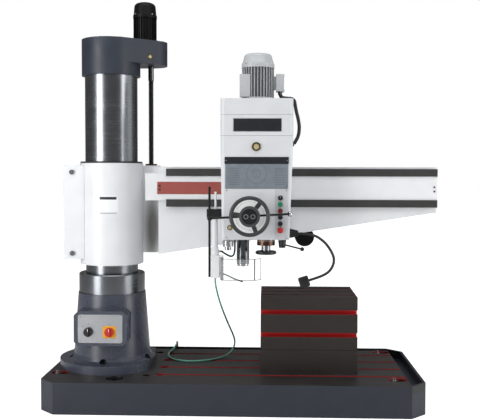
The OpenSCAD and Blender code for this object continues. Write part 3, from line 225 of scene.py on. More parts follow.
CLIP_W, CLIP_T, CLIP_BITE = 9, 1.0, 0.2
clip_in, clip_out = HOSE_D / MM / 2 - CLIP_BITE, HOSE_D / MM / 2 + CLIP_T
clip_band = [(clip_in, -CLIP_W / 2), (clip_out, -CLIP_W / 2), (clip_out, CLIP_W / 2),
             (clip_in, CLIP_W / 2), (clip_in, -CLIP_W / 2)]
clips = [turned("hose_clip_" + name, clip_band, at, way, "base", zinc, 32)
         for name, at, way in (("rim", (384, 499, 228), (0, -1, 0)),
                               ("guard", (730, -399.6, 837), (0, -0.07, 1)))]


# Base: a ribbed box casting in grey iron, painted slate outside, with its top planed bare.
# The T-slots are brushed red inside, the foundation pockets red round their rims, and the gutter
# is black. Below their rims the walls of the pockets and wells are painted near black, as painted
# shade.
def dress(finish, *names):
    """Gives nodes of the frame a finish."""
    for name in names:
        for slot in nodes[name].material_slots:
            slot.material = finish


def streaks(node, coords, mark_mm, detail):
    """Noise stretched into marks of a size along X, Y and Z."""
    stretch = node("VectorMath DIVIDE", coords, [size * MM for size in mark_mm])
    return node("TexNoise", Vector=stretch, Scale=1.0, Detail=detail)


# Slate enamel is satin with the long waves of the filler under it; the planed top is dark with
# cutting oil and shows the planer's straight strokes.
painted_iron, node, shader, coords = finish_named("slate enamel and planed grey iron")
TOP_Z, TABLE_RIGHT, TABLE_REAR = 0.1996, 1.9435, 0.4555
SLOT_PITCH, SLOT_REACH, SLOT_FLOOR, SLOT_LEFT = 0.2, 0.031, 0.15, 0.3
POCKETS = ((-0.285, -0.272), (-0.285, 0.272), (1.88, -0.374), (1.88, 0.4))
POCKET_REACH, POCKET_RIM = 0.075, 0.012
WELLS = ((0.092, -0.411, 0.058), (0.282, -0.324, 0.027), (0.282, 0.3325, 0.027))
STROKE_MM, OIL_MM, FILLER_MM = (900, 2.5, 2.5), 160, 110
where = node("SeparateXYZ", coords).outputs
across = node("Math ABSOLUTE", where["Y"])
across = node("Math SUBTRACT", across, SLOT_PITCH)
across = node("Math ABSOLUTE", across)
in_row = node("Math COMPARE", across, SLOT_PITCH / 2, SLOT_REACH)
in_depth = node("Math COMPARE", where["Z"], (TOP_Z + SLOT_FLOOR) / 2, (TOP_Z - SLOT_FLOOR) / 2)
in_length = node("Math COMPARE", where["X"], (TABLE_RIGHT + SLOT_LEFT) / 2,
                 (TABLE_RIGHT - SLOT_LEFT) / 2)
in_slot = node("Math MULTIPLY", in_row, in_length)
at_rim = node("Math GREATER_THAN", where["Z"], TOP_Z - POCKET_RIM)
flat = node("VectorMath MULTIPLY", coords, (1, 1, 0))
hollow = 0.0
for x, y, reach in [(*place, POCKET_REACH) for place in POCKETS] + list(WELLS):
    away = node("VectorMath DISTANCE", flat, (x, y, 0))
    near = node("Math LESS_THAN", away, reach)
    hollow = node("Math MAXIMUM", hollow, near)
    if reach == POCKET_REACH:
        near = node("Math MULTIPLY", near, at_rim)
        in_slot = node("Math MAXIMUM", in_slot, near)
red_here = node("Math MULTIPLY", in_slot, in_depth)
past_right = node("Math GREATER_THAN", where["X"], TABLE_RIGHT)
past_rear = node("Math GREATER_THAN", where["Y"], TABLE_REAR)
in_gutter = node("Math MAXIMUM", past_right, past_rear)
sunk = node("Math MAXIMUM", in_gutter, hollow)
on_top = node("Math GREATER_THAN", where["Z"], TOP_Z)
planed_here = node("Math SUBTRACT", on_top, in_gutter, use_clamp=True)
# Near black in the gutter, and painted shade on the walls of the pockets and wells.
gutter_and_painted_shade = node("Math MULTIPLY", sunk, in_depth)
filler = node("TexNoise", Vector=coords, Scale=1 / (FILLER_MM * MM), Detail=2.0)
slate = node("Mix RGBA", filler, "#1b202b", "#242935")
satin = node("MapRange", Value=filler, To_Min=0.3, To_Max=0.48)
planed, oily = mottle(node, coords, OIL_MM, 5.0, "#1d1b1b", "#353130", 0.3, 0.6)
tone = node("Mix RGBA", planed_here, slate, planed)
tone = node("Mix RGBA", gutter_and_painted_shade, tone, "#17181b")
tone = node("Mix RGBA", red_here, tone, "#861819")
gloss = node("Mix", planed_here, satin, oily)
edge = node("Bevel", Radius=4 * MM, samples=4)
swell = node("Bump", Strength=0.3, Distance=1.5 * MM, Height=filler, Normal=edge)
stroke = node("Math MULTIPLY", streaks(node, coords, STROKE_MM, 2.0), planed_here)
cut = node("Bump", Strength=0.4, Distance=0.2 * MM, Height=stroke, Normal=swell)
set_on(shader, Base_Color=tone, Roughness=gloss, Normal=cut, IOR=1.5)
dress(painted_iron, "base_plate")


# Pedestal, cap and lid: iron castings bolted down and sprayed with the same slate enamel, a
# shade lighter on the pedestal, whose paint is thicker over the round shapes.
def enamel(name, deep, light, rough, seams=(), hollow=None, fins=None, specular=0.5):
    """Enamel sprayed over filler: long waves, a fine orange peel and edges that the paint rounds.
    The joints between castings show as fine lines at the heights of the seams. Painted shade
    darkens a hollow, given by its middle and its reach, and the gaps between fins, given by their
    axis, root, tip and heights. All are in millimetres."""
    filler_mm, peel_mm, edge_mm, seam_mm = 110, 5, 2.5, 1.2
    finish, node, shader, coords = finish_named(name)
    filler = node("TexNoise", Vector=coords, Scale=1 / (filler_mm * MM), Detail=2.0)
    peel = node("TexNoise", Vector=coords, Scale=1 / (peel_mm * MM), Detail=1.0)
    tone = node("Mix RGBA", filler, deep, light)
    where = node("SeparateXYZ", coords).outputs
    for z in seams:
        joint = node("Math COMPARE", where["Z"], z * MM, seam_mm * MM)
        tone = node("Mix RGBA", joint, tone, "#8a8d91")
    # Painted shade in the hollow, darkest at its middle.
    if hollow:
        middle, reach = (Vector(size) * MM for size in hollow)
        off = node("VectorMath SUBTRACT", coords, middle)
        off = node("VectorMath DIVIDE", off, reach)
        off = node("VectorMath LENGTH", off)
        painted_shade = node("MapRange", Value=off, From_Min=0.2, To_Min=0.92, To_Max=0.0,
                    interpolation_type="SMOOTHSTEP")
        tone = node("Mix RGBA", painted_shade, tone, "#55544f")
    # Painted shade between the fins, darkest at their root.
    if fins:
        axis, root, tip, (low, high) = fins
        flat = node("VectorMath MULTIPLY", coords, (1, 1, 0))
        out = node("VectorMath DISTANCE", flat, Vector((*axis, 0)) * MM)
        painted_shade = node("MapRange", Value=out, From_Min=root * MM, From_Max=tip * MM,
                    To_Min=0.95, To_Max=0.0)
        tall = node("Math COMPARE", where["Z"], (low + high) / 2 * MM, (high - low) / 2 * MM)
        painted_shade = node("Math MULTIPLY", painted_shade, tall)
        tone = node("Mix RGBA", painted_shade, tone, "#1e2022")
    gloss = node("MapRange", Value=filler, From_Min=0.3, From_Max=0.7,
                 To_Min=rough - 0.05, To_Max=rough + 0.08)
    edge = node("Bevel", Radius=edge_mm * MM, samples=4)
    swell = node("Bump", Strength=0.3, Distance=1.5 * MM, Height=filler, Normal=edge)
    skin = node("Bump", Strength=0.1, Distance=0.25 * MM, Height=peel, Normal=swell)
    set_on(shader, Base_Color=tone, Roughness=gloss, Normal=skin, IOR=1.5,
           Specular_IOR_Level=specular)
    return finish


dress(enamel("slate enamel on the pedestal", "#3b404c", "#464a56", 0.27), "pedestal")
dress(enamel("slate enamel on the cap", "#212733", "#29303c", 0.46), "column_cap", "cap_lid")


# Column, collar, quill and spindle: steel turned and then ground, so fine rings run round the
# axis. The levelling screws are turned only.
def cut_metal(name, deep, light, smoothest, roughest, grain_mm, metallic=1.0, depth=0.15,
              shaded_below=0):
    """Bare metal with the marks of the tool that cut it. The grain is their size along X, Y and Z.
    Below a height in millimetres its colour is darker, as painted shade."""
    stain_mm = 90
    finish, node, shader, coords = finish_named(name)
    marks = streaks(node, coords, grain_mm, 3.0)
    stain = node("TexNoise", Vector=coords, Scale=1 / (stain_mm * MM), Detail=4.0)
    tone = node("Mix RGBA", stain, deep, light)
    # Painted shade: below the height the metal takes a darker colour.
    if shaded_below:
        where = node("SeparateXYZ", coords).outputs
        oily = node("Math LESS_THAN", where["Z"], shaded_below * MM)
        tone = node("Mix RGBA", oily, tone, "#75787c")
    both = node("Math MULTIPLY", marks, stain)
    gloss = node("MapRange", Value=both, From_Min=0.1, From_Max=0.45,
                 To_Min=smoothest, To_Max=roughest)
    edge = node("Bevel", Radius=0.8 * MM, samples=4)
    rub = node("Bump", Strength=depth, Distance=0.05 * MM, Height=marks, Normal=edge)
    set_on(shader, Base_Color=tone, Metallic=metallic, Roughness=gloss, Normal=rub)
    return finish


# Ground rings of about 2 mm, drawn coarser than they are so that they show.
# The collar below 880 mm is painted darker, as painted shade for its dimmer reflections.
ground_steel = cut_metal("ground steel", "#85888c", "#979a9e", 0.23, 0.29, (400, 400, 2),
                         depth=0.02, shaded_below=880)
turned_steel = cut_metal("turned steel", "#9a9c9f", "#b4b6b8", 0.2, 0.36, (60, 60, 1))
dress(ground_steel, "outer_column", "inner_column", "column_bearings", "clamp_bolts")
oiled_steel = cut_metal("oiled ground steel", "#606366", "#707376", 0.2, 0.27, (400, 400, 2),
                        depth=0.02)
dress(oiled_steel, "quill")
dress(turned_steel, "spindle", "drive_gear", "motor_pinion", "levelling_screws", "quill_lock")

# Pedestal bolts: hexagon bolts blackened in hot salts, which leaves the steel matt and slightly
# brown. They stand in pockets cast into the flange.
dress(cut_metal("black oxide on steel", "#232324", "#333334", 0.38, 0.55, (30, 30, 30), 0.85),
      "pedestal_bolts")

# Box table: a cast iron cube, planed on all its faces and dark with oil. Its T-slots are
# brushed red inside like those of the base, and those in the top are a darker, browner red.
table_iron, node, shader, coords = finish_named("planed and oiled grey iron")
BOX_FRONT, BOX_TOP = -0.2445, 0.6995
BOX_FRONT_SLOTS, BOX_TOP_SLOTS = (0.602, 0.454), (-0.145, 0.005, 0.155)
BOX_SLOT_REACH, BOX_SLOT_DEPTH = 0.0255, 0.05
where = node("SeparateXYZ", coords).outputs
red_here = 0.0
for axis, places, normal, middle in (("Z", BOX_FRONT_SLOTS, "Y", BOX_FRONT + BOX_SLOT_DEPTH / 2),
                                     ("Y", BOX_TOP_SLOTS, "Z", BOX_TOP - BOX_SLOT_DEPTH / 2)):
    behind = node("Math COMPARE", where[normal], middle, BOX_SLOT_DEPTH / 2)
    for place in places:
        row = node("Math COMPARE", where[axis], place, BOX_SLOT_REACH)
        row = node("Math MULTIPLY", row, behind)
        red_here = node("Math MAXIMUM", red_here, row)
below = node("Math LESS_THAN", where["Z"], BOX_TOP - BOX_SLOT_DEPTH)
red = node("Mix RGBA", below, "#5e2520", "#c01d1f")
planed, oily = mottle(node, coords, OIL_MM, 5.0, "#282321", "#37302d", 0.35, 0.62)
tone = node("Mix RGBA", red_here, planed, red)
edge = node("Bevel", Radius=1.5 * MM, samples=4)
stroke = streaks(node, coords, STROKE_MM, 2.0)
cut = node("Bump", Strength=0.4, Distance=0.2 * MM, Height=stroke, Normal=edge)
set_on(shader, Base_Color=tone, Roughness=oily, Normal=cut, Metallic=0.35)
dress(table_iron, "box_table")

# Hose elbow: a brass fitting screwed into the rear rim, turned from bar, with fine rings.
dress(cut_metal("turned brass", "#a8843f", "#c4a055", 0.2, 0.4, (8, 8, 0.8)), "hose_fitting")


# Switch plate: brushed aluminium sheet with round corners on the front of the switch housing,
# held by four socket screws. A yellow foil lies under the main switch.
FRONT, UP = (0, -1, 0), (0, 0, 1)
CORNER_STEPS = 6


def plate(name, x, z, y, corner, body, finish, edge=0.6):
    """A plate that faces the front, between two sides, two heights and its front and back, in
    millimetres. Its corners are round and its front edge is broken."""
    shape = bmesh.new()
    rings = []
    left, right, low, high = x[0] + corner, x[1] - corner, z[0] + corner, z[1] - corner
    for inset, depth in ((0, y[1]), (0, y[0] + edge), (edge, y[0])):
        reach = max(corner - inset, 0.05)
        ring = []
        for cx, cz, start in ((right, high, 0), (left, high, 90), (left, low, 180),
                              (right, low, 270)):
            for step in range(CORNER_STEPS + 1):
                turn = math.radians(start + 90 / CORNER_STEPS * step)
                ring.append(shape.verts.new(Vector(
                    (cx + reach * math.cos(turn), depth, cz + reach * math.sin(turn))) * MM))
        rings.append(ring)
    loft(shape, rings)
    shape.faces.new(rings[0])
    shape.faces.new(rings[-1])
    return keep(name, mesh_of(name, shape), body, finish)


# Brushed along X: long thin streaks in the gloss.
brushed_aluminium = cut_metal("brushed aluminium", "#a6a9ad", "#babcbf", 0.28, 0.42, (120, 1, 1),
                              0.9)
PLATE_X, PLATE_Z, PLATE_FRONT, PLATE_T = (-159, 129), (406.5, 590.5), -334, 4
switch_plate = plate("switch_plate_sheet", PLATE_X, PLATE_Z, (PLATE_FRONT, PLATE_FRONT + PLATE_T),
                     14, "base", brushed_aluminium)
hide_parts("switch_plate")


def moulded(name, colour, worn, rough):
    """Moulded plastic or rubber with a fine eroded grain and slightly polished patches."""
    grain_mm, patch_mm = 0.9, 25
    finish, node, shader, coords = finish_named(name)
    tone, gloss = mottle(node, coords, patch_mm, 3.0, colour, worn, rough - 0.08, rough + 0.1)
    grain = node("TexNoise", Vector=coords, Scale=1 / (grain_mm * MM), Detail=1.0)
    edge = node("Bevel", Radius=1.2 * MM, samples=4)
    skin = node("Bump", Strength=0.12, Distance=0.1 * MM, Height=grain, Normal=edge)
    set_on(shader, Base_Color=tone, Roughness=gloss, Normal=skin, IOR=1.5)
    return finish


yellow_foil = moulded("yellow polyester foil", "#dd9a1e", "#e6aa2c", 0.35)
ISOLATOR_X, SELECTOR_X, KNOB_Z = 45, -91, 478
FOIL_W, FOIL_H = 88, 78
plate("isolator_foil", (ISOLATOR_X - FOIL_W / 2, ISOLATOR_X + FOIL_W / 2),
      (KNOB_Z - FOIL_H / 2, KNOB_Z + FOIL_H / 2), (PLATE_FRONT - 0.2, PLATE_FRONT), 3,
      "base", yellow_foil, 0.05)


def tree_named(name, **inputs):
    """A new Geometry Nodes tree, a function that adds its nodes, and what its named inputs give."""
    tree = bpy.data.node_groups.new(name, "GeometryNodeTree")
    for label, kind in {"Geometry": "Geometry", **inputs, "Material": "Material"}.items():
        tree.interface.new_socket(label, in_out="INPUT", socket_type="NodeSocket" + kind)
    tree.interface.new_socket("Geometry", in_out="OUTPUT", socket_type="NodeSocketGeometry")
    node = functools.partial(add_node, tree)
    return tree, node, node("NodeGroupInput").outputs


def end_tree(node, given, geometry):
    """Ends a tree with its instances made real and its material set."""
    real = node("RealizeInstances", Geometry=geometry)
    dressed = node("SetMaterial", Geometry=real, Material=given["Material"])
    node("NodeGroupOutput", Geometry=dressed)


def grow(name, tree, body, slot, finish, seed=None, **sizes):
    """Runs a tree on a seed mesh, or on none, and keeps the result as one plain piece on a body."""
    if seed is None:
        seed = bpy.data.meshes.new("none")
    holder = bpy.data.objects.new(name + "_seed", seed)
    scene.collection.objects.link(holder)
    modifier = holder.modifiers.new(tree.name, "NODES")
    modifier.node_group = tree
    sizes["Material"] = finish
    for socket in tree.interface.items_tree:
        if socket.in_out == "INPUT" and socket.name in sizes:
            modifier[socket.identifier] = sizes[socket.name]
    grown = holder.evaluated_get(bpy.context.evaluated_depsgraph_get())
    mesh = bpy.data.meshes.new_from_object(grown)
    mesh.name = name
    bpy.data.objects.remove(holder)
    return keep(name, mesh, body)


def seeds(places):
    """A mesh of points at (place in millimetres, direction), with each direction as its facing."""
    mesh = bpy.data.meshes.new("seeds")
    mesh.from_pydata([Vector(at) * MM for at, way in places], [], [])
    facing = mesh.attributes.new("facing", "FLOAT_VECTOR", "POINT")
    for point, (at, way) in zip(facing.data, places):
        point.vector = way
    return mesh


def on_seeds(node, given, instance):
    """Sets an instance on each seed, with its Z axis along the seed's facing."""
    facing = node("InputNamedAttribute FLOAT_VECTOR", Name="facing")
    turn = node("AlignRotationToVector", Vector=facing, axis="Z")
    return node("InstanceOnPoints", Points=given["Geometry"], Instance=instance,
                Rotation=turn)


# A socket screw's head is a slightly tapered cylinder with a hexagon sunk into it.
socket_screws, node, given = tree_named("Socket screws", Radius="Float", Height="Float")
brim = node("Math MULTIPLY", given["Radius"], 0.88)
key = node("Math MULTIPLY", given["Radius"], 0.5)
head = node("MeshCone", Vertices=24, Radius_Top=brim, Radius_Bottom=given["Radius"],
            Depth=given["Height"])
hexagon = node("MeshCylinder", Vertices=6, Radius=key, Depth=given["Height"])
rise = node("CombineXYZ", Z=given["Height"])
hexagon = node("Transform", Geometry=hexagon, Translation=rise)
head = node("MeshBoolean DIFFERENCE", Mesh_1=head, Mesh_2=hexagon)
end_tree(node, given, on_seeds(node, given, head))


def screws(name, places, body, slot, finish, radius, height):
    """Socket screws of one size in millimetres, at (place, direction)."""
    grow(name, socket_screws, body, slot, finish, seeds(places),
         Radius=radius * MM, Height=height * MM)


def front_grid(xs, y, zs):
    """Places that face the front at each x and z."""
    return [((x, y, z), FRONT) for x in xs for z in zs]


screw_black = moulded("blackened screw steel", "#1c1d1f", "#2a2b2d", 0.42)
PLATE_SCREW_IN = 13
plate_places = front_grid((PLATE_X[0] + PLATE_SCREW_IN, PLATE_X[1] - PLATE_SCREW_IN), PLATE_FRONT,
                          (PLATE_Z[0] + PLATE_SCREW_IN, PLATE_Z[1] - PLATE_SCREW_IN))
screws("switch_plate_screws", plate_places, "base", "steel_dark", zinc, 6, 3)

# Marks round a dial: thin printed blocks, every fifth one longer, set out on part of a circle.
dial_marks, node, given = tree_named(
    "Dial marks", Count="Int", Radius="Float", First="Float", Sweep="Float", Mark="Vector",
    Longer="Float", Centre="Vector", Turn="Rotation")
index = node("InputIndex")
line = node("MeshLine", Count=given["Count"])
gaps = node("Math SUBTRACT", given["Count"], 1.0)
share = node("Math DIVIDE", index, gaps)
angle = node("Math MULTIPLY_ADD", share, given["Sweep"], given["First"])
east = node("Math COSINE", angle)
north = node("Math SINE", angle)
spoke = node("CombineXYZ", X=east, Y=north)
place = node("VectorMath SCALE", spoke, given["Radius"])
line = node("SetPosition", Geometry=line, Position=place)
block = node("MeshCube", Size=given["Mark"])
fifth = node("Math MODULO", index, 5.0)
fifth = node("Math LESS_THAN", fifth, 0.5)
longer = node("Math MULTIPLY_ADD", fifth, given["Longer"], 1.0)
stretch = node("CombineXYZ", X=longer, Y=1.0, Z=1.0)
lean = node("CombineXYZ", Z=angle)
many = node("InstanceOnPoints", Points=line, Instance=block, Rotation=lean, Scale=stretch)
many = node("Transform", Geometry=many, Translation=given["Centre"], Rotation=given["Turn"])
end_tree(node, given, many)

black_print = moulded("black screen print", "#1b1c1e", "#242527", 0.5)
white_print = moulded("white screen print", "#e9eaea", "#f3f3f3", 0.45)
FRONTWARDS = (math.pi / 2, 0, 0)
KNOBS = (("isolator", ISOLATOR_X), ("selector", SELECTOR_X))
for name, x in KNOBS:
    grow(name + "_marks", dial_marks, "base", "plastic_black", black_print,
         Count=3, Radius=52 * MM, First=math.radians(45), Sweep=math.radians(90), Longer=0.0,
         Mark=(7 * MM, 2.2 * MM, 0.3 * MM), Centre=Vector((x, PLATE_FRONT - 0.1, KNOB_Z)) * MM,
         Turn=FRONTWARDS)

# Rotary switches: phenolic knobs with a grip bar, red on the main switch and black on the
# selector. A white line is let into the end of each bar.
gloss_black = moulded("black phenolic moulding", "#131315", "#1f1f21", 0.34)
dress(moulded("red phenolic moulding", "#b3161a", "#c42a24", 0.3), "isolator_knob")
dress(gloss_black, "selector_knob")
BAR_FRONT = -362.2
for name, x in KNOBS:
    plate(name + "_pointer", (x - 1.3, x + 1.3), (KNOB_Z + 6, KNOB_Z + 26),
          (BAR_FRONT - 0.4, BAR_FRONT), 1, name, white_print, 0.1)


# Cap: the lid is held by socket screws round the drum and round the belt housing. A brass oil
# sight with a glass disc is screwed into the housing's front.
def bolt_circle(centre, radius, z, turns, way=None):
    """Places on a circle round Z at turns in degrees, that face a way or else outwards."""
    places = []
    for turn in map(math.radians, turns):
        out = Vector((math.cos(turn), math.sin(turn), 0))
        places.append((Vector((*centre, z)) + radius * out, way or out))
    return places


DRUM_SCREW_R, LOBE_SCREW_R = 181, 98
LOBE, LID_Z = (256, 90), 2386
lid_places = bolt_circle((0, 0), DRUM_SCREW_R, LID_Z, (100, 140, 180, 220, 260, 300), UP)
lid_places += bolt_circle(LOBE, LOBE_SCREW_R, LID_Z, (-60, -10, 40, 90), UP)
screws("lid_screws", lid_places, "column", "steel_dark", screw_black, 9, 2)

# Pressed glass over a pale reflector, with oil to half its height.
sight_glass, node, shader, coords = finish_named("oil sight glass")
DROP_MM = 6
bubble = node("TexNoise", Vector=coords, Scale=1 / (DROP_MM * MM), Detail=1.0)
tone = node("Mix RGBA", bubble, "#8d7d4c", "#d9cd9f")
set_on(shader, Base_Color=tone, Roughness=0.06, IOR=1.5, Coat_Weight=1.0, Coat_Roughness=0.03)
dull_brass = cut_metal("dull brass", "#4e4128", "#6f6040", 0.3, 0.5, (6, 6, 6))


def oil_sight(name, centre, way, radius, proud, body):
    """A turned brass ring with a slightly domed glass."""
    inner = radius * 0.68
    glass = [(0, 0.5), (inner - 0.2, 0.5), (inner - 0.2, proud * 0.5), (inner * 0.6, proud * 0.66),
             (0, proud * 0.7)]
    ring = [(0, -2), (radius, -2), (radius, proud * 0.6), (radius * 0.9, proud),
            (inner + 1.5, proud), (inner, proud * 0.6), (inner, 1), (0, 1)]
    turned(name + "_glass", glass, centre, way, body, sight_glass)
    return turned(name + "_ring", ring, centre, way, body, dull_brass)


oil_sight("cap_sight", (268, -40.3, 2275), (0.605, -0.797, 0), 17, 6, "column")

# Lifting motor: a finned iron housing under black paint, with a pressed steel cowl over its fan.
# A wire guard covers the air inlet and four screws hold the cowl.
motor_black = enamel("black motor paint", "#050607", "#090a0c", 0.4, specular=0.2)
dress(motor_black, "lift_motor", "lift_motor_cowl")

# A fan guard is welded from rings of wire and four straight wires across them.
wire_guard, node, given = tree_named("Wire guard", Rings="Int", Radius="Float", Wire="Float",
                                     Centre="Vector")
index = node("InputIndex")
points = node("MeshLine", Count=given["Rings"], Offset=(0, 0, 0))
step = node("Math ADD", index, 1.0)
size = node("Math DIVIDE", step, given["Rings"])
size = node("Math MULTIPLY", size, given["Radius"])
size = node("CombineXYZ", X=size, Y=size, Z=1.0)
ring = node("CurvePrimitiveCircle", Resolution=40, Radius=1.0)
rings = node("InstanceOnPoints", Points=points, Instance=ring, Scale=size)
end = node("CombineXYZ", X=given["Radius"])
start = node("VectorMath SCALE", end, -1.0)
rod = node("CurvePrimitiveLine", Start=start, End=end)
rods = node("MeshLine", Count=4, Offset=(0, 0, 0))
lean = node("Math MULTIPLY", index, math.pi / 4)
lean = node("CombineXYZ", Z=lean)
rods = node("InstanceOnPoints", Points=rods, Instance=rod, Rotation=lean)
lines = node("JoinGeometry")
for curves in (rings, rods):
    join(node("RealizeInstances", Geometry=curves), lines.inputs["Geometry"])
section = node("CurvePrimitiveCircle", Resolution=6, Radius=given["Wire"])
wires = node("CurveToMesh", Curve=lines, Profile_Curve=section)
wires = node("Transform", Geometry=wires, Translation=given["Centre"])
end_tree(node, given, wires)


def cowl_details(name, at, cowl_r, top, inlet_r, screw_z, body, finish):
    """The wire guard over a cowl's inlet and the four screws in its skirt."""
    grow(name + "_guard", wire_guard, body, "steel_dark", finish, Rings=5,
         Radius=(inlet_r + 3) * MM, Wire=1.3 * MM, Centre=Vector((*at, top + 0.5)) * MM)
    places = bolt_circle(at, cowl_r, screw_z, (45, 135, 225, 315))
    screws(name + "_screws", places, body, "steel_dark", zinc, 5, 3)


cowl_details("lift_cowl", (216, 90), 80.5, 2653, 40, 2572, "column", motor_black)

# Lift screw: a trapezoidal thread of 8 mm lead, rolled on a steel bar that hangs from the cap,
# with a plain turned neck in the cap's bearing. It is dark with grease.
thread, node, given = tree_named("Rolled thread", Radius="Float", Length="Float", Lead="Float",
                                 Depth="Float", Centre="Vector")
rows = node("Math DIVIDE", given["Length"], given["Lead"])
rows = node("Math MULTIPLY", rows, 8.0)
bar = node("MeshCylinder", Vertices=24, Side_Segments=rows, Radius=given["Radius"],
           Depth=given["Length"])
here = node("InputPosition")
parts = node("SeparateXYZ", here).outputs
round_it = node("Math ARCTAN2", parts["Y"], parts["X"])
round_it = node("Math DIVIDE", round_it, math.tau)
climb = node("Math DIVIDE", parts["Z"], given["Lead"])
phase = node("Math SUBTRACT", climb, round_it)
flank = node("Math PINGPONG", phase, 0.5)
flank = node("MapRange", Value=flank, From_Min=0.17, From_Max=0.33)
depth = node("Math DIVIDE", given["Depth"], given["Radius"])
shrink = node("Math MULTIPLY", flank, depth)
shrink = node("Math SUBTRACT", 1.0, shrink)
scale = node("CombineXYZ", X=shrink, Y=shrink, Z=1.0)
place = node("VectorMath MULTIPLY", here, scale)
bar = node("SetPosition", Geometry=bar, Position=place)
bar = node("Transform", Geometry=bar, Translation=given["Centre"])
end_tree(node, given, bar)

greased_steel = cut_metal("greased steel", "#2f3033", "#4b4d51", 0.25, 0.45, (20, 20, 6))
SCREW_R, SCREW_FOOT, SCREW_NECK = 17.5, 1370, 2130
screw_thread = grow("lift_screw_thread", thread, "lift_screw", "steel_dark", greased_steel,
                    Radius=SCREW_R * MM, Length=(SCREW_NECK - SCREW_FOOT) * MM, Lead=8 * MM,
                    Depth=3.5 * MM, Centre=Vector((*LOBE, (SCREW_FOOT + SCREW_NECK) / 2)) * MM)
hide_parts("lift_screw")
NECK = [(0, 0), (18, 0), (19, 1), (19, 118), (32, 118), (32, 132), (17.5, 132), (17.5, 169),
        (16, 170), (0, 170)]
turned("lift_screw_neck", NECK, (*LOBE, SCREW_NECK), UP, "lift_screw", oiled_steel)

# Arm: a ribbed box casting split at the rear of its sleeve, filled and sprayed off-white. Hard
# strips are let into its front as ways, and a red sheet covers the slot between them.
# The hollow beside the sleeve is painted darker, as painted shade.
dress(enamel("off-white enamel on the arm", "#d9dbde", "#e3e4e6", 0.36,
             hollow=((277, 10, 1130), (82, 100, 340))), "arm_casting")
dress(enamel("off-white enamel on the head", "#c9cbce", "#d3d5d8", 0.34, seams=(1728, 1856)),
      "head_casting", "gear_case", "head_cover")
dress(enamel("off-white enamel on sheet", "#dcdee1", "#e5e6e8", 0.32), "arm_rear_cover")

# Ground along the arm, and blued: the streaks run along X.
dress(cut_metal("ground and blued way steel", "#3c3c3c", "#4c4b4a", 0.42, 0.6, (200, 2, 2), 0.6),
      "upper_way", "lower_way")
dress(enamel("red paint on sheet", "#8f443e", "#9f514a", 0.45), "cover_strip")
rubber = moulded("black nitrile rubber", "#161617", "#222223", 0.6)
dress(rubber, "wiper_ring")
dress(cut_metal("turned bronze", "#5d4134", "#7a5745", 0.25, 0.45, (30, 30, 1.2)), "lift_nut")
dress(motor_black, "clamp_pump")
strip_places = front_grid((350,), -174, (1391, 1416)) + front_grid((2136,), -172, (1383, 1411))
screws("strip_screws", strip_places, "arm", "steel_dark", screw_black, 6.5, 2.5)

rear_low, rear_high = (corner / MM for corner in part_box("arm_rear_cover"))
REAR_PITCH, REAR_EDGE = 210, 14
span = rear_high.x - rear_low.x - 2 * REAR_EDGE
rear_count = int(span // REAR_PITCH)
rear_places = [((rear_low.x + REAR_EDGE + span * step / rear_count, rear_high.y,
                 rear_high.z - REAR_EDGE), (0, 1, 0)) for step in range(rear_count + 1)]
screws("rear_cover_screws", rear_places, "arm", "steel_dark", zinc, 6, 4)

# Sleeve plate: a thin white sheet bent round the sleeve, with a dark band along its top and a line
# at its foot, held by four drive rivets. It is left bare.
SLEEVE_R, SHEET_T, SHEET_STEPS, RIVET_IN = 212, 0.8, 16, 7
SHEET_X, SHEET_Z = (-83, 81), (1231, 1351)
BAND_Z, FOOT_Z, BAND_X = (1.334, 0.009), (1.2365, 0.002), (0.015, 0.055)
sheet_white, node, shader, coords = finish_named("printed white sheet")
where = node("SeparateXYZ", coords).outputs
band = node("Math COMPARE", where["Z"], *BAND_Z)
foot = node("Math COMPARE", where["Z"], *FOOT_Z)
band = node("Math MAXIMUM", band, foot)
inside = node("Math COMPARE", where["X"], *BAND_X)
band = node("Math MULTIPLY", band, inside)
pale, gloss = mottle(node, coords, 12, 3.0, "#e8eaec", "#f0f1f3", 0.28, 0.42)
tone = node("Mix RGBA", band, pale, "#2c2e33")
set_on(shader, Base_Color=tone, Roughness=gloss, IOR=1.5)


def on_sleeve(x, z, radius):
    """A point at a radius round the column, and the direction outwards there."""
    turn = math.asin(x / SLEEVE_R)
    out = Vector((math.sin(turn), -math.cos(turn), 0))
    return radius * out + Vector((0, 0, z)), out


sheet = bmesh.new()
rings = []
for radius, inset in ((SLEEVE_R - 0.4, 0), (SLEEVE_R + SHEET_T, 0.3)):
    left, wide = SHEET_X[0] + inset, SHEET_X[1] - SHEET_X[0] - 2 * inset
    xs = [left + wide * step / SHEET_STEPS for step in range(SHEET_STEPS + 1)]
    low, high = ([sheet.verts.new(on_sleeve(x, z, radius)[0] * MM) for x in xs]
                 for z in (SHEET_Z[0] + inset, SHEET_Z[1] - inset))
    rings.append(low + high[::-1])
    for k in range(SHEET_STEPS):
        sheet.faces.new((low[k], low[k + 1], high[k + 1], high[k]))
loft(sheet, rings)
keep("sleeve_sheet", mesh_of("sleeve_sheet", sheet), "arm", sheet_white)

# A drive rivet's head is a low dome.
rivets, node, given = tree_named("Drive rivets", Radius="Float")
dome = node("MeshUVSphere", Segments=16, Rings=8, Radius=given["Radius"])
dome = node("Transform", Geometry=dome, Scale=(1, 1, 0.5))
end_tree(node, given, on_seeds(node, given, dome))
rivet_places = [on_sleeve(x, z, SLEEVE_R + 0.7)
                for x in (SHEET_X[0] + RIVET_IN, SHEET_X[1] - RIVET_IN)
                for z in (SHEET_Z[0] + RIVET_IN, SHEET_Z[1] - RIVET_IN)]
grow("sleeve_sheet_rivets", rivets, "arm", "steel_bright", zinc, seeds(rivet_places), Radius=3 * MM)

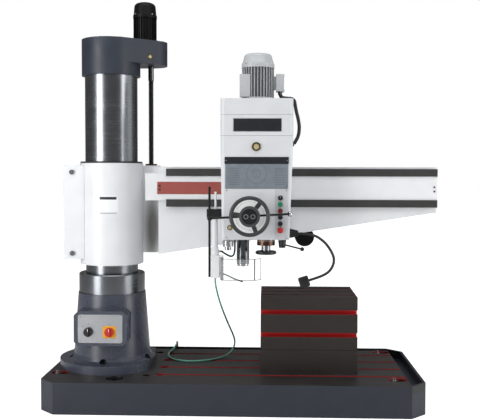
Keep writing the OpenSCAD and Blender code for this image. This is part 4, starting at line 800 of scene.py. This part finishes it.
# Head plates: an anodised name plate with a silver border on the gear case, left bare, and a
# grey-blue chart plate under a black header strip. The chart has generic rings and lines.
HEAD_FRONT, PANEL_FRONT = -499.4, -502.4
anodised_black = moulded("black anodised aluminium", "#15171c", "#22252b", 0.38)
plate("name_plate_border", (844, 1141), (1752, 1834), (HEAD_FRONT - 1.2, HEAD_FRONT), 3,
      "head", brushed_aluminium, 0.4)
plate("name_plate", (848, 1137), (1756, 1830), (HEAD_FRONT - 1.6, HEAD_FRONT - 1), 2,
      "head", anodised_black, 0.2)
plate("header_strip", (793, 1184), (1555, 1598), (PANEL_FRONT - 0.6, PANEL_FRONT + 0.2), 1,
      "head", anodised_black, 0.2)

chart, node, shader, coords = finish_named("printed aluminium chart")
RING_AT, RING_R, RING_W = (0.988, 0, 1.497), 0.062, 0.0012
TABLES, TABLE_Z, LINE_PITCH = ((0.85, 0.034), (1.132, 0.03)), (1.479, 0.058), 0.011
where = node("SeparateXYZ", coords).outputs
face = node("VectorMath MULTIPLY", coords, (1, 0, 1))
away = node("VectorMath DISTANCE", face, RING_AT)
inked = node("Math COMPARE", away, RING_R, RING_W)
inner = node("Math COMPARE", away, 0.4 * RING_R, RING_W)
inked = node("Math MAXIMUM", inked, inner)
row = node("Math PINGPONG", where["Z"], LINE_PITCH / 2)
row = node("Math LESS_THAN", row, 0.13 * LINE_PITCH)
tall = node("Math COMPARE", where["Z"], *TABLE_Z)
row = node("Math MULTIPLY", row, tall)
for middle, half in TABLES:
    wide = node("Math COMPARE", where["X"], middle, half)
    wide = node("Math MULTIPLY", wide, row)
    inked = node("Math MAXIMUM", inked, wide)
faint = node("Math MULTIPLY", inked, 0.45)
ground, gloss = mottle(node, coords, 45, 4.0, "#737d86", "#8c949b", 0.32, 0.48)
tone = node("Mix RGBA", faint, ground, "#2b3136")
set_on(shader, Base_Color=tone, Roughness=gloss, Metallic=0.3)
dress(chart, "chart_plate")

# Control panel: brushed aluminium sheet with turned bezels, and a grey printed strip under
# the buttons. Socket screws hold the panel and the chart.
panel, node, shader, coords = finish_named("brushed and printed aluminium panel")
PRINT_FROM, BRUSH_MM = 1.1, (150, 1, 1)
streak = streaks(node, coords, BRUSH_MM, 3.0)
printed = node("Math GREATER_THAN", node("SeparateXYZ", coords), PRINT_FROM)
silver = node("Mix RGBA", streak, "#d0d2d5", "#dddfe1")
grey = node("Mix RGBA", streak, "#bec0c3", "#cbcdd0")
tone = node("Mix RGBA", printed, silver, grey)
gloss = node("MapRange", Value=streak, To_Min=0.3, To_Max=0.46)
rub = node("Bump", Strength=0.1, Distance=0.04 * MM, Height=streak)
set_on(shader, Base_Color=tone, Roughness=gloss, Normal=rub, Metallic=0.15)
dress(panel, "control_panel")
panel_places = front_grid((806, 1171), PANEL_FRONT, (1103, 1393, 1413))
panel_places += front_grid((802, 1175), PANEL_FRONT - 0.5, (1576,))
screws("panel_screws", panel_places, "head", "steel_bright", zinc, 4.5, 2.2)

# Oil sights of the head: turned brass rings with a glass, the larger one on the gear case and
# the smaller one beside the levers.
gear_sight = oil_sight("gear_sight", (986, HEAD_FRONT, 1661), FRONT, 27, 10, "head")
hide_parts("sight_glasses")
oil_sight("feed_sight", (825, PANEL_FRONT, 1165), FRONT, 16, 7, "head")

# Feed dial: a white printed ring on the panel round the feed hub, with generic marks, long at
# every fifth.
FEED_X, FEED_Z, DIAL_COUNT = 948, 1238, 60
turned("feed_dial", [(52, 0), (108, 0), (108, 0.5), (52, 0.5), (52, 0)],
       (FEED_X, PANEL_FRONT, FEED_Z), FRONT, "head", white_print, 72)
grow("feed_dial_marks", dial_marks, "head", "plastic_black", black_print,
     Count=DIAL_COUNT, Radius=88 * MM, First=0.0, Sweep=math.tau * (DIAL_COUNT - 1) / DIAL_COUNT,
     Longer=0.7, Mark=(7 * MM, 1.2 * MM, 0.3 * MM),
     Centre=Vector((FEED_X, PANEL_FRONT - 0.6, FEED_Z)) * MM, Turn=FRONTWARDS)

# Push buttons and the mode switch: phenolic mouldings with a dished face. The emergency stop is
# a mushroom that is struck with the palm.
gloss_green = moulded("green phenolic moulding", "#0f6b4c", "#1c8560", 0.3)
bright_red = moulded("red nylon moulding", "#a81c18", "#b82c24", 0.32)
dark_red = moulded("dark red phenolic moulding", "#6e181a", "#812624", 0.32)
BUTTON_X = 1134
DISHED = [(0, -2), (14.8, -2), (15, 11), (14, 12.8), (12.4, 13), (11, 12.2), (0, 11.6)]
MUSHROOM = [(0, -2), (9, -2), (9, 10), (17, 10.3), (19, 12.5), (18.6, 16), (16, 19.4), (10, 21.4),
            (0, 22)]
BUTTONS = (
    ("start_button", 1309, DISHED, gloss_green, "plastic_green"),
    ("stop_button", 1268, DISHED, dark_red, "plastic_red"),
    ("up_button", 1230, DISHED, gloss_black, "plastic_black"),
    ("down_button", 1190, DISHED, gloss_black, "plastic_black"),
    ("emergency_stop", 1150, MUSHROOM, bright_red, "plastic_red"),
)
for name, z, profile, finish, slot in BUTTONS:
    button = turned(name + "_cap", profile, (BUTTON_X, PANEL_FRONT, z), FRONT, name, finish,
                    40)
    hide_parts(name)
dress(gloss_black, "mode_switch")
mode_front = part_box("mode_switch")[0].y / MM
plate("mode_pointer", (BUTTON_X - 0.9, BUTTON_X + 0.9), (1349, 1357),
      (mode_front - 0.3, mode_front + 0.1), 0.5, "mode_switch", white_print, 0.1)

# Spindle motor: a finned aluminium housing in light grey paint, with a pressed cowl, a terminal
# box on its side and a ribbed conduit that leads down to the head.
MOTOR_AT = (993, -330)
# The gaps between the fins are painted dark, as painted shade.
motor_grey = enamel("light grey motor paint", "#a8abae", "#b7babd", 0.38,
                    fins=(MOTOR_AT, 89, 99, (1972, 2155)))
dress(motor_grey, "head_motor", "head_motor_cowl", "terminal_box")
cowl_details("head_cowl", MOTOR_AT, 102.5, 2244, 50, 2180, "head", motor_grey)
box_places = [((1156, y, z), (1, 0, 0)) for y in (-364, -296) for z in (2018, 2109)]
screws("terminal_box_screws", box_places, "head", "steel_bright", zinc, 5, 3)

# A ribbed tube swells and narrows along its path, one rib to each pitch.
ribbed_tube, node, given = tree_named("Ribbed tube", Radius="Float", Pitch="Float", Depth="Float")
path = node("MeshToCurve", Mesh=given["Geometry"])
gap = node("Math DIVIDE", given["Pitch"], 5.0)
path = node("ResampleCurve", Curve=path, Length=gap, mode="LENGTH")
along = node("SplineParameter").outputs["Length"]
turns = node("Math DIVIDE", along, given["Pitch"])
turns = node("Math MULTIPLY", turns, math.tau)
swing = node("Math COSINE", turns)
dip = node("Math MULTIPLY_ADD", swing, 0.5, 0.5)
dip = node("Math MULTIPLY", dip, given["Depth"])
scale = node("Math SUBTRACT", 1.0, dip)
section = node("CurvePrimitiveCircle", Resolution=16, Radius=given["Radius"])
tube = node("CurveToMesh", Curve=path, Profile_Curve=section, Scale=scale, Fill_Caps=True)
end_tree(node, given, tube)


def path_seed(route):
    """A mesh of one line along a smoothed route."""
    points = smooth(route, 5)
    mesh = bpy.data.meshes.new("path")
    mesh.from_pydata(points, [(k, k + 1) for k in range(len(points) - 1)], [])
    return mesh


CONDUIT_ROUTE = [
    (1132, -330, 2009.5), (1132.2, -329.8, 1998), (1135.5, -326, 1986.5), (1143, -318, 1978),
    (1155, -305, 1974.3), (1172, -287, 1974), (1194, -264, 1974.5), (1212, -247, 1972.5),
    (1226, -236, 1959), (1231, -230, 1933), (1239, -228.5, 1893), (1251, -233, 1843),
    (1257, -242, 1790), (1249, -253, 1735), (1224, -260, 1688),
]
conduit = grow("conduit_tube", ribbed_tube, "head", "rubber_black", rubber,
               path_seed(CONDUIT_ROUTE), Radius=12 * MM, Pitch=7 * MM, Depth=0.12)
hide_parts("motor_conduit")
GLAND = [(0, 0), (16, 0), (16, 8), (14.5, 10), (15.5, 10), (15.5, 17), (13, 21), (0, 21)]
for name, at, way in (("box", (1132, -330, 2011), (0, 0, -1)),
                      ("head", (1204, -260, 1686), (1, 0, 0.05))):
    turned("conduit_gland_" + name, GLAND, at, way, "head", gloss_black, 6)

# Chuck guard: a clear polycarbonate shield on a grey hinge. The hinge hangs from a box on a
# white tube and a blackened rod, held in a clamp block on the head's side.
clear, node, shader, coords = finish_named("clear polycarbonate")
SMEAR_MM, SHIELD_EDGE_MM, SHIELD_BEND = 30, 3.5, 0.977
shield_low, shield_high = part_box("guard_shield")
where = node("SeparateXYZ", coords).outputs
# Painted shade: the shield's edges and its bend are painted grey and made more opaque, for the dark
# look that light reflected inside the sheet gives them.
at_edge = 0.0
for axis, place in (("Z", shield_low.z), ("Z", shield_high.z), ("X", shield_high.x),
                    ("X", SHIELD_BEND)):
    near = node("Math COMPARE", where[axis], place, SHIELD_EDGE_MM * MM)
    at_edge = node("Math MAXIMUM", at_edge, near)
smear = node("TexNoise", Vector=coords, Scale=1 / (SMEAR_MM * MM), Detail=4.0)
gloss = node("MapRange", Value=smear, To_Min=0.04, To_Max=0.14)
tone = node("Mix RGBA", at_edge, "#eef1f2", "#4c5053")
veil = node("MapRange", Value=at_edge, To_Min=0.12, To_Max=0.85)
set_on(shader, Base_Color=tone, Roughness=gloss, IOR=1.58, Alpha=veil)
dress(clear, "guard_shield")
grey_plastic = moulded("grey glass-filled nylon", "#85888a", "#96999b", 0.5)
matt_black = moulded("black glass-filled nylon", "#0a0a0b", "#141416", 0.45)
dress(grey_plastic, "guard_hinge")
dress(matt_black, "guard_bracket", "lamp_bracket")
block_low, block_high = (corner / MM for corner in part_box("guard_bracket"))
block_places = front_grid((block_low.x + 14, block_high.x - 24), block_low.y,
                          ((block_low.z + block_high.z) / 2,))
screws("guard_bracket_screws", block_places, "head", "steel_dark", screw_black, 8, 7)
post, node, shader, coords = finish_named("white enamel tube and blackened rod")
ROD_EDGE = 0.7022
on_rod = node("Math LESS_THAN", node("SeparateXYZ", coords), ROD_EDGE)
white, gloss = mottle(node, coords, 30, 3.0, "#d4d6d9", "#e2e3e5", 0.26, 0.44)
tone = node("Mix RGBA", on_rod, white, "#2b2c2e")
edge = node("Bevel", Radius=2 * MM, samples=4)
set_on(shader, Base_Color=tone, Roughness=gloss, Metallic=on_rod, Normal=edge)
dress(post, "guard_post")
dress(moulded("dark green rubber hose", "#12352c", "#1d4a3e", 0.45), "coolant_line")

# Work lamp: a die-cast housing with a glass front at the end of a ribbed gooseneck, which is
# screwed to a block on the head's right side.
LAMP_AT, LAMP_TILT = Vector((1288, -380, 818)), math.radians(18)
LAMP_OUT = Vector((math.cos(LAMP_TILT), 0, math.sin(LAMP_TILT)))
NECK_ROUTE = [
    (1248, -380, 1121), (1262, -380, 1121), (1276, -380, 1121), (1346, -380, 1110),
    (1386, -380, 1090), (1426, -380, 1054), (1458, -380, 1006), (1473, -380, 962),
    (1465, -380, 918), (1439, -380, 881), (1398, -380, 856),
    LAMP_AT + 56 * LAMP_OUT, LAMP_AT + 44 * LAMP_OUT, LAMP_AT + 32 * LAMP_OUT,
]
neck = grow("gooseneck_tube", ribbed_tube, "head", "rubber_black", rubber, path_seed(NECK_ROUTE),
            Radius=9 * MM, Pitch=5 * MM, Depth=0.13)
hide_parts("gooseneck")
LAMP_SIZE, LAMP_DEEP, LAMP_ROUND = 64, 60, 9
housing = bmesh.new()
bmesh.ops.create_cube(housing, size=1.0,
                      matrix=Matrix.Diagonal((LAMP_SIZE * MM, LAMP_DEEP * MM, LAMP_SIZE * MM, 1)))
bmesh.ops.bevel(housing, geom=housing.edges, offset=LAMP_ROUND * MM, segments=4, affect="EDGES",
                profile=0.5)
bmesh.ops.transform(housing, verts=housing.verts,
                    matrix=Matrix.Translation(LAMP_AT * MM) @ Matrix.Rotation(-LAMP_TILT, 4, "Y"))
lamp = keep("lamp_housing", mesh_of("lamp_housing", housing), "head", matt_black)
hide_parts("lamp_head")
frosted, node, shader, coords = finish_named("frosted lamp glass")
FROST_MM = 2
frost = node("TexVoronoi", Vector=coords, Scale=1 / (FROST_MM * MM))
gloss = node("MapRange", Value=frost, To_Min=0.2, To_Max=0.5)
set_on(shader, Base_Color="#d7dadb", Roughness=gloss, IOR=1.5)
lamp_front = LAMP_AT - 31.8 * LAMP_OUT
turned("lamp_bezel", [(22, -1), (25, -1), (25, 1.2), (24, 2), (22.5, 2), (22, 1), (22, -1)],
       lamp_front, -LAMP_OUT, "head", zinc)
turned("lamp_lens", [(0, -0.5), (22, -0.5), (21.8, 0.6), (14, 1.4), (0, 1.7)],
       lamp_front, -LAMP_OUT, "head", frosted)

# Feed levers and traverse wheel: blackened lever rods with ball knobs, and behind the hub cap a
# cast wheel with a dark painted rim. The ball on the right is polished.
levers, node, shader, coords = finish_named("blackened and polished lever steel")
POLISHED_X = 1.188
polished = node("Math GREATER_THAN", node("SeparateXYZ", coords), POLISHED_X)
dark, matt = mottle(node, coords, 18, 4.0, "#262728", "#3c3d3e", 0.28, 0.5)
tone = node("Mix RGBA", polished, dark, "#c3c5c7")
gloss = node("Mix", polished, matt, 0.12)
set_on(shader, Base_Color=tone, Roughness=gloss, Metallic=0.95)
dress(levers, "feed_levers")
wheel, node, shader, coords = finish_named("grey rim paint and black hub moulding")
HUB_R, CAP_R = 0.068, 0.0475
face = node("VectorMath MULTIPLY", coords, (1, 0, 1))
away = node("VectorMath DISTANCE", face, (FEED_X * MM, 0, FEED_Z * MM))
on_rim = node("Math GREATER_THAN", away, HUB_R)
on_ring = node("Math GREATER_THAN", away, CAP_R)
rim, gloss = mottle(node, coords, 22, 4.0, "#2b2c2e", "#3c3d3f", 0.26, 0.46)
tone = node("Mix RGBA", on_ring, "#121315", "#494b4e")
tone = node("Mix RGBA", on_rim, tone, rim)
edge = node("Bevel", Radius=1.5 * MM, samples=4)
set_on(shader, Base_Color=tone, Roughness=gloss, Normal=edge, IOR=1.5)
dress(wheel, "traverse_wheel")
HUB_RING = [(11, 0.3), (14, 0.3), (14, -0.5), (13, -0.9), (12, -0.9), (11, -0.5), (11, 0.3)]
hub_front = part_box("traverse_wheel")[0].y / MM
for name, shift in (("left", -21), ("right", 21)):
    turned("hub_ring_" + name, HUB_RING, (FEED_X + shift, hub_front, FEED_Z), (0, 1, 0),
           "traverse_wheel", grey_plastic)

# Fine feed: a bronze-coloured graduated collar, a turned neck and a black moulded disc under the
# head. The shift lever stands beside it with its own ball.
fine, node, shader, coords = finish_named("bronze collar over black disc")
DISC_Z, NECK_Z = 1.019, 1.05
where = node("SeparateXYZ", coords).outputs
collar = node("Math GREATER_THAN", where["Z"], NECK_Z)
disc = node("Math LESS_THAN", where["Z"], DISC_Z)
ringed = streaks(node, coords, (60, 60, 1.2), 2.0)
brown = node("Mix RGBA", ringed, "#4d382f", "#6b5044")
tone = node("Mix RGBA", collar, "#8f9194", brown)
tone = node("Mix RGBA", disc, tone, "#1a1a1c")
gloss = node("MapRange", Value=ringed, To_Min=0.22, To_Max=0.42)
shine = node("Math SUBTRACT", 1.0, disc)
edge = node("Bevel", Radius=1.2 * MM, samples=4)
set_on(shader, Base_Color=tone, Roughness=gloss, Metallic=shine, Normal=edge)
dress(fine, "fine_feed_knob")
FINE_AT, FINE_R, FINE_COUNT = (1047, -420, 1080), 56, 51
grow("fine_feed_marks", dial_marks, "fine_feed", "plastic_white", white_print,
     Count=FINE_COUNT, Radius=FINE_R * MM, First=0.0, Longer=0.0,
     Sweep=math.tau * (FINE_COUNT - 1) / FINE_COUNT, Mark=(0.4 * MM, 0.9 * MM, 9 * MM),
     Centre=Vector(FINE_AT) * MM, Turn=(0, 0, 0))
dress(matt_black, "shift_lever")

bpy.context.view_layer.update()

# Studio: a pale floor that fades to white, two tall softboxes that draw the bright stripes on the
# column, a dim panel beside the right one, a wide one overhead, a fill from behind that lights but
# isn't mirrored, and a sky that is white to the camera and dim to everything else.
FLOOR_AT, FLOOR_R, FADE_FROM, FADE_TO = Vector((0.85, 0, 0)), 30.0, 2.2, 6.0
FLOOR_GAP = Vector((0, 0, 0.0005))
floor_shape = bmesh.new()
bmesh.ops.create_circle(floor_shape, cap_ends=True, segments=96, radius=FLOOR_R,
                        matrix=Matrix.Translation(FLOOR_AT - FLOOR_GAP))
floor_mesh = bpy.data.meshes.new("floor")
floor_shape.to_mesh(floor_mesh)
floor_shape.free()
floor = bpy.data.objects.new("floor", floor_mesh)
scene.collection.objects.link(floor)
paper, node, shader, coords = finish_named("matt white paper")
away = node("VectorMath DISTANCE", coords, FLOOR_AT)
far = node("MapRange", Value=away, From_Min=FADE_FROM, From_Max=FADE_TO, To_Min=0.6, To_Max=1.0,
           interpolation_type="SMOOTHSTEP")
seen = node("LightPath").outputs["Is Camera Ray"]
dim = node("MapRange", Value=seen, To_Min=0.06, To_Max=1.0)
shine = node("Math MULTIPLY", far, dim)
set_on(shader, Base_Color="#f2f2f2", Roughness=0.9, Emission_Color=(1, 1, 1, 1),
       Emission_Strength=shine)
floor_mesh.materials.append(paper)


def softbox(name, at, aim, size, watts, mirrored=True):
    """A rectangular area light that the camera doesn't see."""
    light = bpy.data.lights.new(name, "AREA")
    light.shape = "RECTANGLE"
    light.size, light.size_y = size
    light.energy = watts
    lamp = bpy.data.objects.new(name, light)
    turn = (Vector(aim) - Vector(at)).to_track_quat("-Z", "Y")
    lamp.matrix_world = Matrix.Translation(at) @ turn.to_matrix().to_4x4()
    lamp.visible_camera = False
    lamp.visible_glossy = mirrored
    scene.collection.objects.link(lamp)


softbox("left softbox", (-2.9, -3.4, 1.77), (0.5, 0, 1.3), (1.7, 3.46), 142)
softbox("right softbox", (5.1, -2.05, 1.77), (0.9, 0, 1.3), (2.2, 3.46), 96)
softbox("overhead softbox", (0.9, -1.6, 4.6), (0.9, 0, 1.0), (4.5, 3.0), 90)
softbox("right panel", (5.6, 0.6, 1.77), (0.9, 0, 1.3), (2.8, 3.46), 22)
softbox("rear fill", (0.9, 4.6, 2.6), (0.9, 0, 1.0), (4.5, 2.5), 45, False)

sky = bpy.data.worlds.new("sky")
scene.world = sky
sky.use_nodes = True
node = functools.partial(add_node, sky.node_tree)
way = node("SeparateXYZ", node("TexCoord").outputs["Generated"]).outputs
glow = node("MapRange", Value=way["Z"], From_Min=-0.1, From_Max=0.8, To_Min=0.07, To_Max=0.3)
seen = node("LightPath").outputs["Is Camera Ray"]
set_on(sky.node_tree.nodes["Background"], Color=(1, 1, 1, 1), Strength=node("Mix", seen, glow, 1.0))
